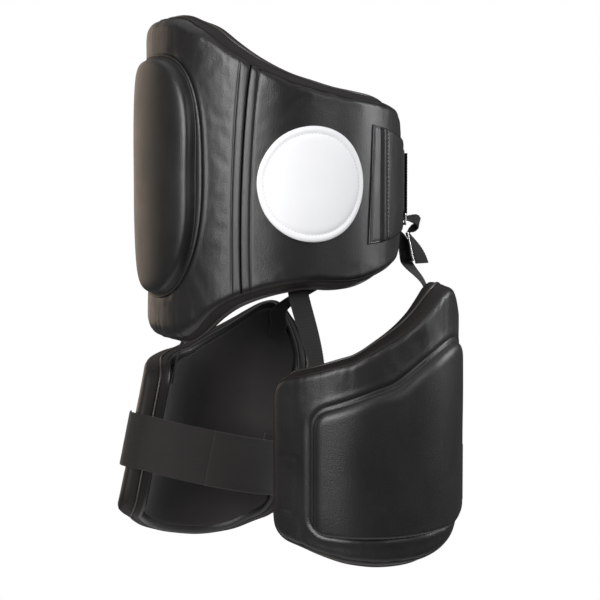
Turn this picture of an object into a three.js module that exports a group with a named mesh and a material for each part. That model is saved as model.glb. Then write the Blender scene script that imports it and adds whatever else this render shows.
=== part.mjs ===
// Trainer's belly pad with two thigh pads, strapped together as they are worn.
// Millimetres and degrees. +Z is up, -Y is the wearer's front, +X the wearer's left.
// The origin is the middle of the waist, halfway up the side sections.
// A wall angle is 0 at the front and grows towards the wearer's left.

import * as THREE from 'three';
import { ParametricGeometry } from 'three/addons/geometries/ParametricGeometry.js';
import { mergeVertices } from 'three/addons/utils/BufferGeometryUtils.js';

// Gaps between neighbouring pieces
const SEAM_GAP = 0.9;
const SKIN_GAP = 1;
const WELD_DISTANCE = 0.001;

// Belly wall
const WAIST_HALF_WIDTH = 128;
const WAIST_HALF_DEPTH = 120;
const BELLY_END_ANGLE = 152;
const BELLY_CORNER_RADIUS = 42;
const BELLY_EDGE_RADIUS = 16;
const SEAM_ANGLE_TOP = 56;
const SEAM_ANGLE_BOTTOM = 51.6;
const SEAM_BOW = 2.2;
const SEAM_ROUND = 4;
const BELLY_FRONT_CELLS = 17;
const BELLY_SIDE_CELLS = 16;
const BELLY_ROW_CELLS = 10;
const BELLY_ROWS = [
  { angle: 0, top: 204.5, bottom: -176, thick: 38 },
  { angle: 16, top: 203.5, bottom: -175, thick: 38 },
  { angle: 27, top: 197, bottom: -165, thick: 38 },
  { angle: 36, top: 189.5, bottom: -149, thick: 38 },
  { angle: 46, top: 173, bottom: -134.5, thick: 37.5 },
  { angle: 58, top: 154.5, bottom: -123.5, thick: 37 },
  { angle: 72, top: 138, bottom: -115.5, thick: 36.5 },
  { angle: 84, top: 129, bottom: -112.5, thick: 36 },
  { angle: 95, top: 122, bottom: -114, thick: 36 },
  { angle: 106, top: 118, bottom: -112.5, thick: 36 },
  { angle: 122, top: 113, bottom: -103.5, thick: 35.5 },
  { angle: 138, top: 106, bottom: -92, thick: 35 },
  { angle: 152, top: 100, bottom: -87, thick: 35 },
];

// Raised strike panel on the belly
const PANEL_HALF_ANGLE = 35;
const PANEL_TOP = 165;
const PANEL_BOTTOM = -130;
const PANEL_TOP_SQUARENESS = 3.1;
const PANEL_BOTTOM_SQUARENESS = 2.4;
const PANEL_PROUD = 17;
const PANEL_RIM = 3;
const PANEL_ROLL = 24;
const PANEL_CELLS = 12;

// Round targets on the sides
const TARGET_ANGLE = 82.3;
const TARGET_HEIGHT = 9.6;
const TARGET_SIDES = 22;
const TARGET_PROFILE = [
  { radius: 0, rise: 0 },
  { radius: 23, rise: 0 },
  { radius: 46, rise: 0 },
  { radius: 68.2, rise: 0 },
  { radius: 68.2, rise: 3.6 },
  { radius: 65.2, rise: 5.6 },
  { radius: 60, rise: 4.8 },
  { radius: 56, rise: 6.6 },
  { radius: 30, rise: 8.2 },
  { radius: 0, rise: 8.6 },
];

// Closure tabs at the rear ends
const TAB_ANGLES = [110.3, 114, 117.2, 118.2, 124, 130.5, 137, 143];
const TAB_ROW_CELLS = 4;
const TAB_ROWS = [
  { angle: 110.3, top: 80, bottom: -63, thick: 2 },
  { angle: 117.2, top: 78, bottom: -61.5, thick: 2 },
  { angle: 118.2, top: 77.5, bottom: -61.3, thick: 4.4 },
  { angle: 132, top: 71, bottom: -56, thick: 4.4 },
  { angle: 143, top: 62, bottom: -48, thick: 4.4 },
];

// Elastic band across the back: left half, angle and depth out from the waist line
const BAND_WIDTH = 76;
const BAND_HEIGHT = 12;
const BAND_THICK = 2;
const BAND_STEPS = 26;
const BAND_ROWS = [
  { angle: 143.6, depth: 38.2 },
  { angle: 148, depth: 38.6 },
  { angle: 154, depth: 38.4 },
  { angle: 161, depth: 34.8 },
  { angle: 170, depth: 29.5 },
  { angle: 180, depth: 27.5 },
];

// Hip straps, and the loops, rings and slides behind the hips
const WEBBING_WIDTH = 25;
const WEBBING_THICK = 1.5;
const STRAP_TUCK = 28;
const FRONT_STRAP_ANGLE = 26;
const REAR_STRAP_ANGLE = 143;
const FRONT_STRAP_STEPS = 16;
const REAR_STRAP_STEPS = 44;
const BELLY_CLEARANCE = 9;
const THIGH_CLEARANCE = 12;
const HANG_ANGLE = 158;
const HANG_FACING = 172;
const FOLD_FACING = 160;
const LOOP_TOP = 46;
const LOOP_HALF_GAP = 3.7;
const LOOP_ARC_STEPS = 8;
const RING_WIDTH = 36;
const RING_HEIGHT = 15;
const RING_BAR = 3;
const RING_DROP = -36;
const SLIDE_WIDTH = 37;
const SLIDE_HEIGHT = 37;
const SLIDE_BAR = 4;
const PLATE_THICK = 2.4;
const PLATE_CORNER_SHARE = 0.7;
const PLATE_CORNER_STEPS = 3;
const SLIDE_OUT = 16;
const SLIDE_DROP = -70;
const SLIDE_LEAN = 10;
const SLIDE_FACING = 142;

// Rear hip strap from its loose tail, through the slide, over the ring and down:
// how far out of the ring, how high, and which way it faces
const REAR_STRAP_ROWS = [
  { out: 40, height: -92, facing: 126 },
  { out: 32, height: -80, facing: 128 },
  { out: 23, height: -67.5, facing: 132 },
  { out: 15, height: -60.5, facing: 138 },
  { out: 10, height: -56.5, facing: 142 },
  { out: 8.6, height: -52, facing: 146 },
  { out: 12, height: -48.4, facing: 148 },
  { out: 19, height: -46, facing: 149 },
  { out: 23, height: -41.5, facing: 151 },
  { out: 19.5, height: -37, facing: 156 },
  { out: 12, height: -35.9, facing: 162 },
  { out: 5, height: -36.2, facing: 169 },
  { out: 0, height: -37.3, facing: 172 },
  { out: -3.4, height: -40.4, facing: 172 },
  { out: -4.2, height: -45.5, facing: 167 },
  { out: -2, height: -51, facing: 150 },
  { out: 1.5, height: -58, facing: 132 },
  { out: 4, height: -68, facing: 121 },
  { out: 5.5, height: -80, facing: 118 },
  { out: 8.5, height: -92, facing: 118 },
];

// Thigh shells, in their own frames: heights from the middle of the thigh
const THIGH_RADIUS = 88;
const THIGH_THICK = 34;
const THIGH_FRONT_ANGLE = 7;
const THIGH_REAR_ANGLE = 170;
const THIGH_CORNER_RADIUS = 30;
const THIGH_EDGE_RADIUS = 13;
const THIGH_COLUMN_CELLS = 17;
const THIGH_ROW_CELLS = 9;
const THIGH_ROWS = [
  { angle: 7, top: 73, bottom: -125.5 },
  { angle: 22, top: 76.5, bottom: -127.5 },
  { angle: 38, top: 83.5, bottom: -134.5 },
  { angle: 54, top: 92.5, bottom: -142 },
  { angle: 62, top: 97, bottom: -144.5 },
  { angle: 75, top: 111, bottom: -147 },
  { angle: 90, top: 128.5, bottom: -147 },
  { angle: 103, top: 146.5, bottom: -145 },
  { angle: 114, top: 163.5, bottom: -140.5 },
  { angle: 122, top: 174, bottom: -135.5 },
  { angle: 132, top: 178, bottom: -127.5 },
  { angle: 146, top: 159, bottom: -112 },
  { angle: 158, top: 137, bottom: -101 },
  { angle: 170, top: 119, bottom: -94 },
];
const THIGH_PANEL_ROWS = [
  { angle: 36, top: 36.5, bottom: -112 },
  { angle: 48, top: 42.5, bottom: -114 },
  { angle: 60, top: 50.5, bottom: -115.5 },
  { angle: 72, top: 60, bottom: -116 },
  { angle: 84, top: 69, bottom: -116 },
  { angle: 96, top: 85.5, bottom: -115 },
  { angle: 110, top: 102.5, bottom: -113 },
  { angle: 128, top: 116, bottom: -109 },
  { angle: 140, top: 115, bottom: -99.5 },
  { angle: 150, top: 108, bottom: -88 },
];
const THIGH_PANEL_CORNER = 20;
const THIGH_PANEL_PROUD = 7;
const THIGH_PANEL_RIM = 1.6;
const THIGH_PANEL_ROLL = 14;
const THIGH_PANEL_COLUMN_CELLS = 13;
const THIGH_PANEL_ROW_CELLS = 8;
const LINING_THICK = 1.4;
const LINING_INSET = 9;
const LINING_COLUMN_CELLS = 14;
const LINING_ROW_CELLS = 4;

// Where the thighs are in the stance: the right thigh is forward and leans.
// The last columns say where its strap is sewn, how high that is, and where it hangs from the belly.
const THIGH_PLACES = [
  { side: 'left', sign: 1, x: 104, y: 66, z: -290, lean: 0, sewnAt: 'front', strapAt: -56, hungAt: 79 },
  { side: 'right', sign: -1, x: -104, y: -24, z: -318, lean: -12, sewnAt: 'rear', strapAt: -30, hungAt: 60 },
];

// Thigh straps: turn is the angle on from the sewn edge of the shell, round the inside of the thigh
const STRAP_WIDTH = 70;
const STRAP_THICK = 2;
const ANCHOR_STEPS = 16;
const ELASTIC_STEPS = 30;
const ANCHOR_ROWS = [
  { turn: -20, radius: 83.6 },
  { turn: 0, radius: 83.6 },
  { turn: 50, radius: 85 },
  { turn: 90, radius: 86.6 },
  { turn: 133, radius: 90 },
];
const ELASTIC_ROWS = [
  { turn: 120, radius: 86.2 },
  { turn: 140, radius: 88 },
  { turn: 162, radius: 93 },
  { turn: 182, radius: 101 },
  { turn: 192, radius: 111 },
  { turn: 195, radius: 122.4 },
  { turn: 198.2, radius: 127.6 },
  { turn: 203, radius: 129.4 },
  { turn: 208, radius: 128.6 },
  { turn: 213, radius: 128 },
];

// Edge binding: a strip along the narrow face of a padded edge, at shares of that face's width
const TAPE_GAP = 2.2;
const TAPE_THICK = 2.2;
const TAPE_SHARES = [0.08, 0.55, 1.08];
const BELLY_TAPE_STEPS = 46;
const THIGH_TAPE_STEPS = 24;
const TAPE_END_STEPS = 4;

// Grid lines beside edges and seams, as distances in from them
const EDGE_STEPS = [0, 3, 8, 16];
const SEAM_STEPS = [0, 4, 14];
const ROLL_STEPS = [0, 4, THIGH_PANEL_ROLL];

const { degToRad, lerp } = THREE.MathUtils;

const LEATHER = { color: 0x17181a, roughness: 0.45, metalness: 0 };
const WHITE_LEATHER = { color: 0xf1f2f5, roughness: 0.5, metalness: 0 };
const WEBBING = { color: 0x1b1b1c, roughness: 0.8, metalness: 0 };
const ELASTIC = { color: 0x1f1e1e, roughness: 0.9, metalness: 0 };
const LINING = { color: 0x191817, roughness: 0.85, metalness: 0 };
const STEEL = { color: 0xc9cbce, roughness: 0.2, metalness: 1 };

const object = new THREE.Group();

// Adds one named piece with its finish.
function addPiece(group, name, geometry, finish) {
  geometry.computeVertexNormals();
  const mesh = new THREE.Mesh(geometry, new THREE.MeshStandardMaterial(finish));
  mesh.name = name;
  group.add(mesh);
  return mesh;
}

// Reads one column of a table as a smooth curve over the angle.
function column(rows, name, key = 'angle') {
  const places = rows.map((row) => row[key]);
  const values = rows.map((row) => row[name]);
  const curve = new THREE.CubicInterpolant(places, values, 1);
  return (place) => curve.evaluate(place)[0];
}

// Joins shared vertices, drops collapsed triangles and turns the faces outwards.
function weld(geometry) {
  geometry.deleteAttribute('normal');
  geometry.deleteAttribute('uv');
  const welded = mergeVertices(geometry, WELD_DISTANCE);
  const spots = welded.getAttribute('position');
  const corners = welded.index.array;
  const a = new THREE.Vector3();
  const b = new THREE.Vector3();
  const c = new THREE.Vector3();
  const faces = [];
  let volume = 0;
  for (let start = 0; start < corners.length; start += 3) {
    const face = [corners[start], corners[start + 1], corners[start + 2]];
    if (new Set(face).size === 3) {
      faces.push(face);
      a.fromBufferAttribute(spots, face[0]);
      b.fromBufferAttribute(spots, face[1]);
      c.fromBufferAttribute(spots, face[2]);
      volume += a.dot(b.cross(c));
    }
  }
  if (volume < 0) {
    faces.forEach((face) => face.reverse());
  }
  welded.setIndex(faces.flat());
  return welded;
}

// A box of grid cells, one layer thick, whose corners are put where place(column, row, layer) says.
function gridSolid(columns, rows, place) {
  const box = new THREE.BoxGeometry(columns, rows, 1, columns, rows, 1);
  box.translate(columns / 2, rows / 2, 0.5);
  const spots = box.getAttribute('position');
  for (let index = 0; index < spots.count; index += 1) {
    const grid = [spots.getX(index), spots.getY(index), spots.getZ(index)].map(Math.round);
    spots.setXYZ(index, ...place(...grid).toArray());
  }
  return weld(box);
}

// Distance of a grid line from the start of a stretch, with close lines beside both ends.
function gridLine(line, count, length, startSteps, endSteps) {
  const first = startSteps.length - 1;
  const last = count - endSteps.length + 1;
  if (line <= first) {
    return startSteps[line];
  }
  if (line >= last) {
    return length - endSteps[count - line];
  }
  return lerp(startSteps[first], length - endSteps[count - last], (line - first) / (last - first));
}

// How far a rounded edge falls back at a distance in from it.
function roundOff(distance, radius) {
  const inside = THREE.MathUtils.clamp(radius - distance, 0, radius);
  return radius - Math.sqrt(radius * radius - inside * inside);
}

// A point of the belly wall: depth 0 is the inner face.
function bellyPoint(angle, height, depth) {
  const turn = degToRad(angle);
  const across = Math.sin(turn);
  const along = -Math.cos(turn);
  const outward = new THREE.Vector3(across / WAIST_HALF_WIDTH, along / WAIST_HALF_DEPTH, 0).normalize();
  const foot = new THREE.Vector3(WAIST_HALF_WIDTH * across, WAIST_HALF_DEPTH * along, height);
  return foot.addScaledVector(outward, depth);
}

// A point of a thigh shell in the thigh's own frame: depth 0 is the inner face.
function thighPoint(angle, height, depth) {
  const turn = degToRad(angle);
  const radius = THIGH_RADIUS + depth;
  return new THREE.Vector3(radius * Math.sin(turn), -radius * Math.cos(turn), height);
}

// An outline on a wall: its ends, and top and bottom edges that round off towards them.
function wallOutline({ point, arc, start, end, rows, corner, thick }) {
  const topLine = column(rows, 'top');
  const bottomLine = column(rows, 'bottom');
  const fall = (angle) => roundOff(Math.min(angle - start, end - angle) * arc, corner);
  const top = (angle) => topLine(Math.abs(angle)) - fall(angle);
  const bottom = (angle) => bottomLine(Math.abs(angle)) + fall(angle);
  return { point, arc, start, end, top, bottom, thick };
}

// Share of an upright distance that lies square to a sloping edge.
function squareShare(edge, angle, arc) {
  const step = 0.05;
  const rise = edge(angle + step) - edge(angle - step);
  return 1 / Math.hypot(1, rise / (2 * step * arc));
}

// Fall of the outer face beside the edges of an outline.
function edgeFall(outline, angle, height, radius) {
  const topShare = squareShare(outline.top, angle, outline.arc);
  const bottomShare = squareShare(outline.bottom, angle, outline.arc);
  const endDistance = Math.min(angle - outline.start, outline.end - angle) * outline.arc;
  const fall = roundOff((outline.top(angle) - height) * topShare, radius)
    + roundOff((height - outline.bottom(angle)) * bottomShare, radius)
    + roundOff(endDistance, radius);
  return Math.min(fall, radius);
}

// One padded section of a wall between two leaning sides, which may bow along the wall.
function paddedSection(outline, { from, to, columns, rows, fromSteps, toSteps, edgeRadius }) {
  const length = (to.top + to.bottom - from.top - from.bottom) / 2 * outline.arc;
  return gridSolid(columns, rows, (columnLine, rowLine, layer) => {
    const along = gridLine(columnLine, columns, length, fromSteps, toSteps);
    const topAngle = lerp(from.top, to.top, along / length);
    const bottomAngle = lerp(from.bottom, to.bottom, along / length);
    const foot = outline.bottom(bottomAngle);
    const tall = outline.top(topAngle) - foot;
    const share = gridLine(rowLine, rows, tall, EDGE_STEPS, EDGE_STEPS) / tall;
    const bow = lerp(from.bow, to.bow, along / length) * 4 * share * (1 - share);
    const angle = lerp(bottomAngle, topAngle, share) + bow;
    const height = foot + share * tall;
    let depth = 0;
    if (layer === 1) {
      const seamFall = (from.seam ? roundOff(along, SEAM_ROUND) : 0)
        + (to.seam ? roundOff(length - along, SEAM_ROUND) : 0);
      const fall = edgeFall(outline, angle, height, edgeRadius);
      depth = outline.thick(angle) - Math.max(fall, seamFall);
    }
    return outline.point(angle, height, depth);
  });
}

// Points round an outline, each with the direction in from the edge, in arc and height.
function edgeWalk(outline, alongSteps, endSteps) {
  const walk = [];
  const shift = 0.02;
  const addEdge = (edge, from, to, inward) => {
    for (let step = 0; step < alongSteps; step += 1) {
      const swing = (1 - Math.cos(Math.PI * step / alongSteps)) / 2;
      const share = lerp(step / alongSteps, swing, 0.6);
      const angle = lerp(from, to, share);
      const near = THREE.MathUtils.clamp(angle, outline.start + shift, outline.end - shift);
      const slope = (edge(near + shift) - edge(near - shift)) / (2 * shift * outline.arc);
      const size = Math.hypot(1, slope);
      walk.push({ angle, height: edge(angle), inArc: -slope * inward / size, inHeight: inward / size });
    }
  };
  const addEnd = (angle, fromEdge, toEdge, inArc) => {
    for (let step = 0; step < endSteps; step += 1) {
      const height = lerp(fromEdge(angle), toEdge(angle), step / endSteps);
      walk.push({ angle, height, inArc, inHeight: 0 });
    }
  };
  addEdge(outline.top, outline.start, outline.end, -1);
  addEnd(outline.end, outline.top, outline.bottom, -1);
  addEdge(outline.bottom, outline.end, outline.start, 1);
  addEnd(outline.start, outline.bottom, outline.top, 1);
  return walk;
}

// Tape along the narrow face between the inner face and the rounded outer corner, all the way round.
function edgeTape(outline, alongSteps, edgeRadius) {
  const walk = edgeWalk(outline, alongSteps, TAPE_END_STEPS);
  const under = TAPE_SHARES.map((share) => ({ share, proud: TAPE_GAP }));
  const over = TAPE_SHARES.map((share) => ({ share, proud: TAPE_GAP + TAPE_THICK }));
  const section = [...under, ...over.reverse()];
  const place = (aroundShare, sectionShare, target) => {
    const stop = walk[Math.round(aroundShare * walk.length) % walk.length];
    const { share, proud } = section[Math.round(sectionShare * section.length) % section.length];
    const depth = share * (outline.thick(stop.angle) - edgeRadius);
    const angle = stop.angle - stop.inArc * proud / outline.arc;
    target.copy(outline.point(angle, stop.height - stop.inHeight * proud, depth));
  };
  return weld(new ParametricGeometry(place, walk.length, section.length));
}

// A flat strap along a path: place(share) gives the middle and the direction across it.
function ribbon(steps, width, thick, place) {
  const nudge = 0.2 / steps;
  return gridSolid(steps, 1, (line, edge, layer) => {
    const share = line / steps;
    const { middle, across } = place(share);
    const ahead = place(Math.min(share + nudge, 1)).middle;
    const behind = place(Math.max(share - nudge, 0)).middle;
    const outward = ahead.sub(behind).cross(across).normalize();
    return middle.clone()
      .addScaledVector(across, (edge - 0.5) * width)
      .addScaledVector(outward, (layer - 0.5) * thick);
  });
}

const UP = new THREE.Vector3(0, 0, 1);

// The direction round a wall, square to the direction that it faces.
function roundWall(angle) {
  return new THREE.Vector3(Math.cos(degToRad(angle)), Math.sin(degToRad(angle)), 0);
}

// The direction that a wall faces.
function outOfWall(angle) {
  return new THREE.Vector3(Math.sin(degToRad(angle)), -Math.cos(degToRad(angle)), 0);
}

// Belly wall: three padded sections and their binding
const bellyThick = column(BELLY_ROWS, 'thick');
const belly = wallOutline({
  point: bellyPoint,
  arc: degToRad(1) * (WAIST_HALF_WIDTH + WAIST_HALF_DEPTH + BELLY_ROWS[0].thick) / 2,
  start: -BELLY_END_ANGLE,
  end: BELLY_END_ANGLE,
  rows: BELLY_ROWS,
  corner: BELLY_CORNER_RADIUS,
  thick: (angle) => bellyThick(Math.abs(angle)),
});
const gapAngle = SEAM_GAP / belly.arc;
const seamSide = (sign, shift) => ({
  top: sign * (SEAM_ANGLE_TOP + shift),
  bottom: sign * (SEAM_ANGLE_BOTTOM + shift),
  bow: -sign * SEAM_BOW,
  seam: true,
});
const endSide = (angle) => ({ top: angle, bottom: angle, bow: 0, seam: false });
addPiece(object, 'belly_front', paddedSection(belly, {
  from: seamSide(-1, 0),
  to: seamSide(1, 0),
  columns: BELLY_FRONT_CELLS,
  rows: BELLY_ROW_CELLS,
  fromSteps: SEAM_STEPS,
  toSteps: SEAM_STEPS,
  edgeRadius: BELLY_EDGE_RADIUS,
}), LEATHER);
addPiece(object, 'belly_side_left', paddedSection(belly, {
  from: seamSide(1, gapAngle),
  to: endSide(BELLY_END_ANGLE),
  columns: BELLY_SIDE_CELLS,
  rows: BELLY_ROW_CELLS,
  fromSteps: SEAM_STEPS,
  toSteps: EDGE_STEPS,
  edgeRadius: BELLY_EDGE_RADIUS,
}), LEATHER);
addPiece(object, 'belly_side_right', paddedSection(belly, {
  from: endSide(-BELLY_END_ANGLE),
  to: seamSide(-1, gapAngle),
  columns: BELLY_SIDE_CELLS,
  rows: BELLY_ROW_CELLS,
  fromSteps: EDGE_STEPS,
  toSteps: SEAM_STEPS,
  edgeRadius: BELLY_EDGE_RADIUS,
}), LEATHER);
addPiece(object, 'belly_binding', edgeTape(belly, BELLY_TAPE_STEPS, BELLY_EDGE_RADIUS), LEATHER);

// Strike panel: a tall rounded pad with a rolled edge
const panelMiddle = (PANEL_TOP + PANEL_BOTTOM) / 2;
const panelHalfHeight = (PANEL_TOP - PANEL_BOTTOM) / 2;
const panelHalfWidth = PANEL_HALF_ANGLE * belly.arc;
addPiece(object, 'front_panel', gridSolid(PANEL_CELLS, PANEL_CELLS, (columnLine, rowLine, layer) => {
  const x = columnLine / PANEL_CELLS * 2 - 1;
  const y = rowLine / PANEL_CELLS * 2 - 1;
  const ring = Math.max(Math.abs(x), Math.abs(y));
  const reach = Math.sin(ring * Math.PI / 2);
  const squareness = y > 0 ? PANEL_TOP_SQUARENESS : PANEL_BOTTOM_SQUARENESS;
  const powers = Math.abs(x) ** squareness + Math.abs(y) ** squareness;
  const spread = powers ** (1 / squareness);
  const scale = ring > 0 ? reach / spread : 0;
  const arcWay = x * scale * panelHalfWidth;
  const upWay = y * scale * panelHalfHeight;
  const inFromRim = reach > 0 ? Math.hypot(arcWay, upWay) * (1 - reach) / reach : panelHalfWidth;
  const angle = arcWay / belly.arc;
  const foot = belly.thick(angle) + SKIN_GAP;
  const full = PANEL_PROUD - SKIN_GAP;
  const rise = full - roundOff(inFromRim / PANEL_ROLL, 1) * (full - PANEL_RIM);
  return bellyPoint(angle, panelMiddle + upWay, foot + layer * rise);
}), LEATHER);

// Targets: turned discs laid on the curve of the sides
[['left', 1], ['right', -1]].forEach(([side, sign]) => {
  const profile = TARGET_PROFILE.map(({ radius, rise }) => new THREE.Vector2(radius, rise));
  const arc = degToRad(WAIST_HALF_WIDTH + belly.thick(TARGET_ANGLE));
  const disc = new THREE.LatheGeometry(profile, TARGET_SIDES);
  const spots = disc.getAttribute('position');
  for (let index = 0; index < spots.count; index += 1) {
    const angle = sign * TARGET_ANGLE + spots.getX(index) / arc;
    const depth = belly.thick(angle) + SKIN_GAP + spots.getY(index);
    spots.setXYZ(index, ...bellyPoint(angle, TARGET_HEIGHT + spots.getZ(index), depth).toArray());
  }
  addPiece(object, `target_${side}`, weld(disc), WHITE_LEATHER);
});

// Closure tabs: a sewn patch with a second layer over its rear part
const tabTop = column(TAB_ROWS, 'top');
const tabBottom = column(TAB_ROWS, 'bottom');
[['left', 1], ['right', -1]].forEach(([side, sign]) => {
  const cells = TAB_ANGLES.length - 1;
  addPiece(object, `closure_tab_${side}`, gridSolid(cells, TAB_ROW_CELLS, (columnLine, rowLine, layer) => {
    const angle = TAB_ANGLES[sign > 0 ? columnLine : cells - columnLine];
    const row = TAB_ROWS.findLast((entry) => entry.angle <= angle);
    const height = lerp(tabBottom(angle), tabTop(angle), rowLine / TAB_ROW_CELLS);
    return bellyPoint(sign * angle, height, belly.thick(angle) + SKIN_GAP + layer * row.thick);
  }), LEATHER);
});

// Elastic band across the back
const bandDepth = column(BAND_ROWS, 'depth');
const bandStart = BAND_ROWS[0].angle;
addPiece(object, 'waist_strap', ribbon(BAND_STEPS, BAND_WIDTH, BAND_THICK, (share) => {
  const angle = lerp(bandStart, 360 - bandStart, share);
  const depth = bandDepth(angle > 180 ? 360 - angle : angle);
  return { middle: bellyPoint(angle, BAND_HEIGHT, depth), across: UP };
}), ELASTIC);

// A webbing loop round the band's lower edge, which holds a ring
function ringLoop(middle, outward, across) {
  const low = RING_DROP + (RING_HEIGHT - RING_BAR) / 2;
  const steps = LOOP_ARC_STEPS + 2;
  return ribbon(steps, WEBBING_WIDTH, WEBBING_THICK, (share) => {
    const step = share * steps;
    const turn = Math.PI * THREE.MathUtils.clamp((step - 1) / LOOP_ARC_STEPS, 0, 1);
    const rise = Math.max(1 - step, step - LOOP_ARC_STEPS - 1, 0) * (LOOP_TOP - low);
    const spot = middle.clone().addScaledVector(outward, LOOP_HALF_GAP * Math.cos(turn));
    spot.z = low - LOOP_HALF_GAP * Math.sin(turn) + rise;
    return { middle: spot, across };
  });
}

// A flat metal frame: a rounded plate with one or more slots across it
function slottedPlate(width, height, bar, slots) {
  const x = width / 2;
  const y = height / 2;
  const round = PLATE_CORNER_SHARE * bar;
  const plate = new THREE.Shape();
  plate.moveTo(-x + round, -y);
  plate.lineTo(x - round, -y);
  plate.quadraticCurveTo(x, -y, x, -y + round);
  plate.lineTo(x, y - round);
  plate.quadraticCurveTo(x, y, x - round, y);
  plate.lineTo(-x + round, y);
  plate.quadraticCurveTo(-x, y, -x, y - round);
  plate.lineTo(-x, -y + round);
  plate.quadraticCurveTo(-x, -y, -x + round, -y);
  const slotHeight = (height - (slots + 1) * bar) / slots;
  for (let slot = 0; slot < slots; slot += 1) {
    const low = -y + bar + slot * (slotHeight + bar);
    const hole = new THREE.Path();
    hole.moveTo(-x + bar, low);
    hole.lineTo(-x + bar, low + slotHeight);
    hole.lineTo(x - bar, low + slotHeight);
    hole.lineTo(x - bar, low);
    hole.closePath();
    plate.holes.push(hole);
  }
  const body = new THREE.ExtrudeGeometry(plate, {
    depth: PLATE_THICK,
    bevelEnabled: false,
    curveSegments: PLATE_CORNER_STEPS,
  });
  body.translate(0, 0, -PLATE_THICK / 2);
  return weld(body);
}

// Hangs a metal frame at a spot, facing the given way and leaning out at its foot.
function hangPlate(mesh, spot, facing, lean) {
  const across = roundWall(facing);
  const upward = UP.clone().applyAxisAngle(across, -degToRad(lean));
  const basis = new THREE.Matrix4().makeBasis(across, upward, across.clone().cross(upward));
  mesh.quaternion.setFromRotationMatrix(basis);
  mesh.position.copy(spot);
}

// A hip strap along hand-placed stops, each a middle and a facing direction.
function hipStrap(stops, steps) {
  const path = new THREE.CatmullRomCurve3(stops.map(({ spot }) => spot), false, 'centripetal');
  const facing = stops.map((stop) => stop.facing);
  return ribbon(steps, WEBBING_WIDTH, WEBBING_THICK, (share) => {
    const place = share * (stops.length - 1);
    const before = Math.min(Math.floor(place), stops.length - 2);
    const angle = lerp(facing[before], facing[before + 1], place - before);
    return { middle: path.getPoint(share), across: roundWall(angle) };
  });
}

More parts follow.
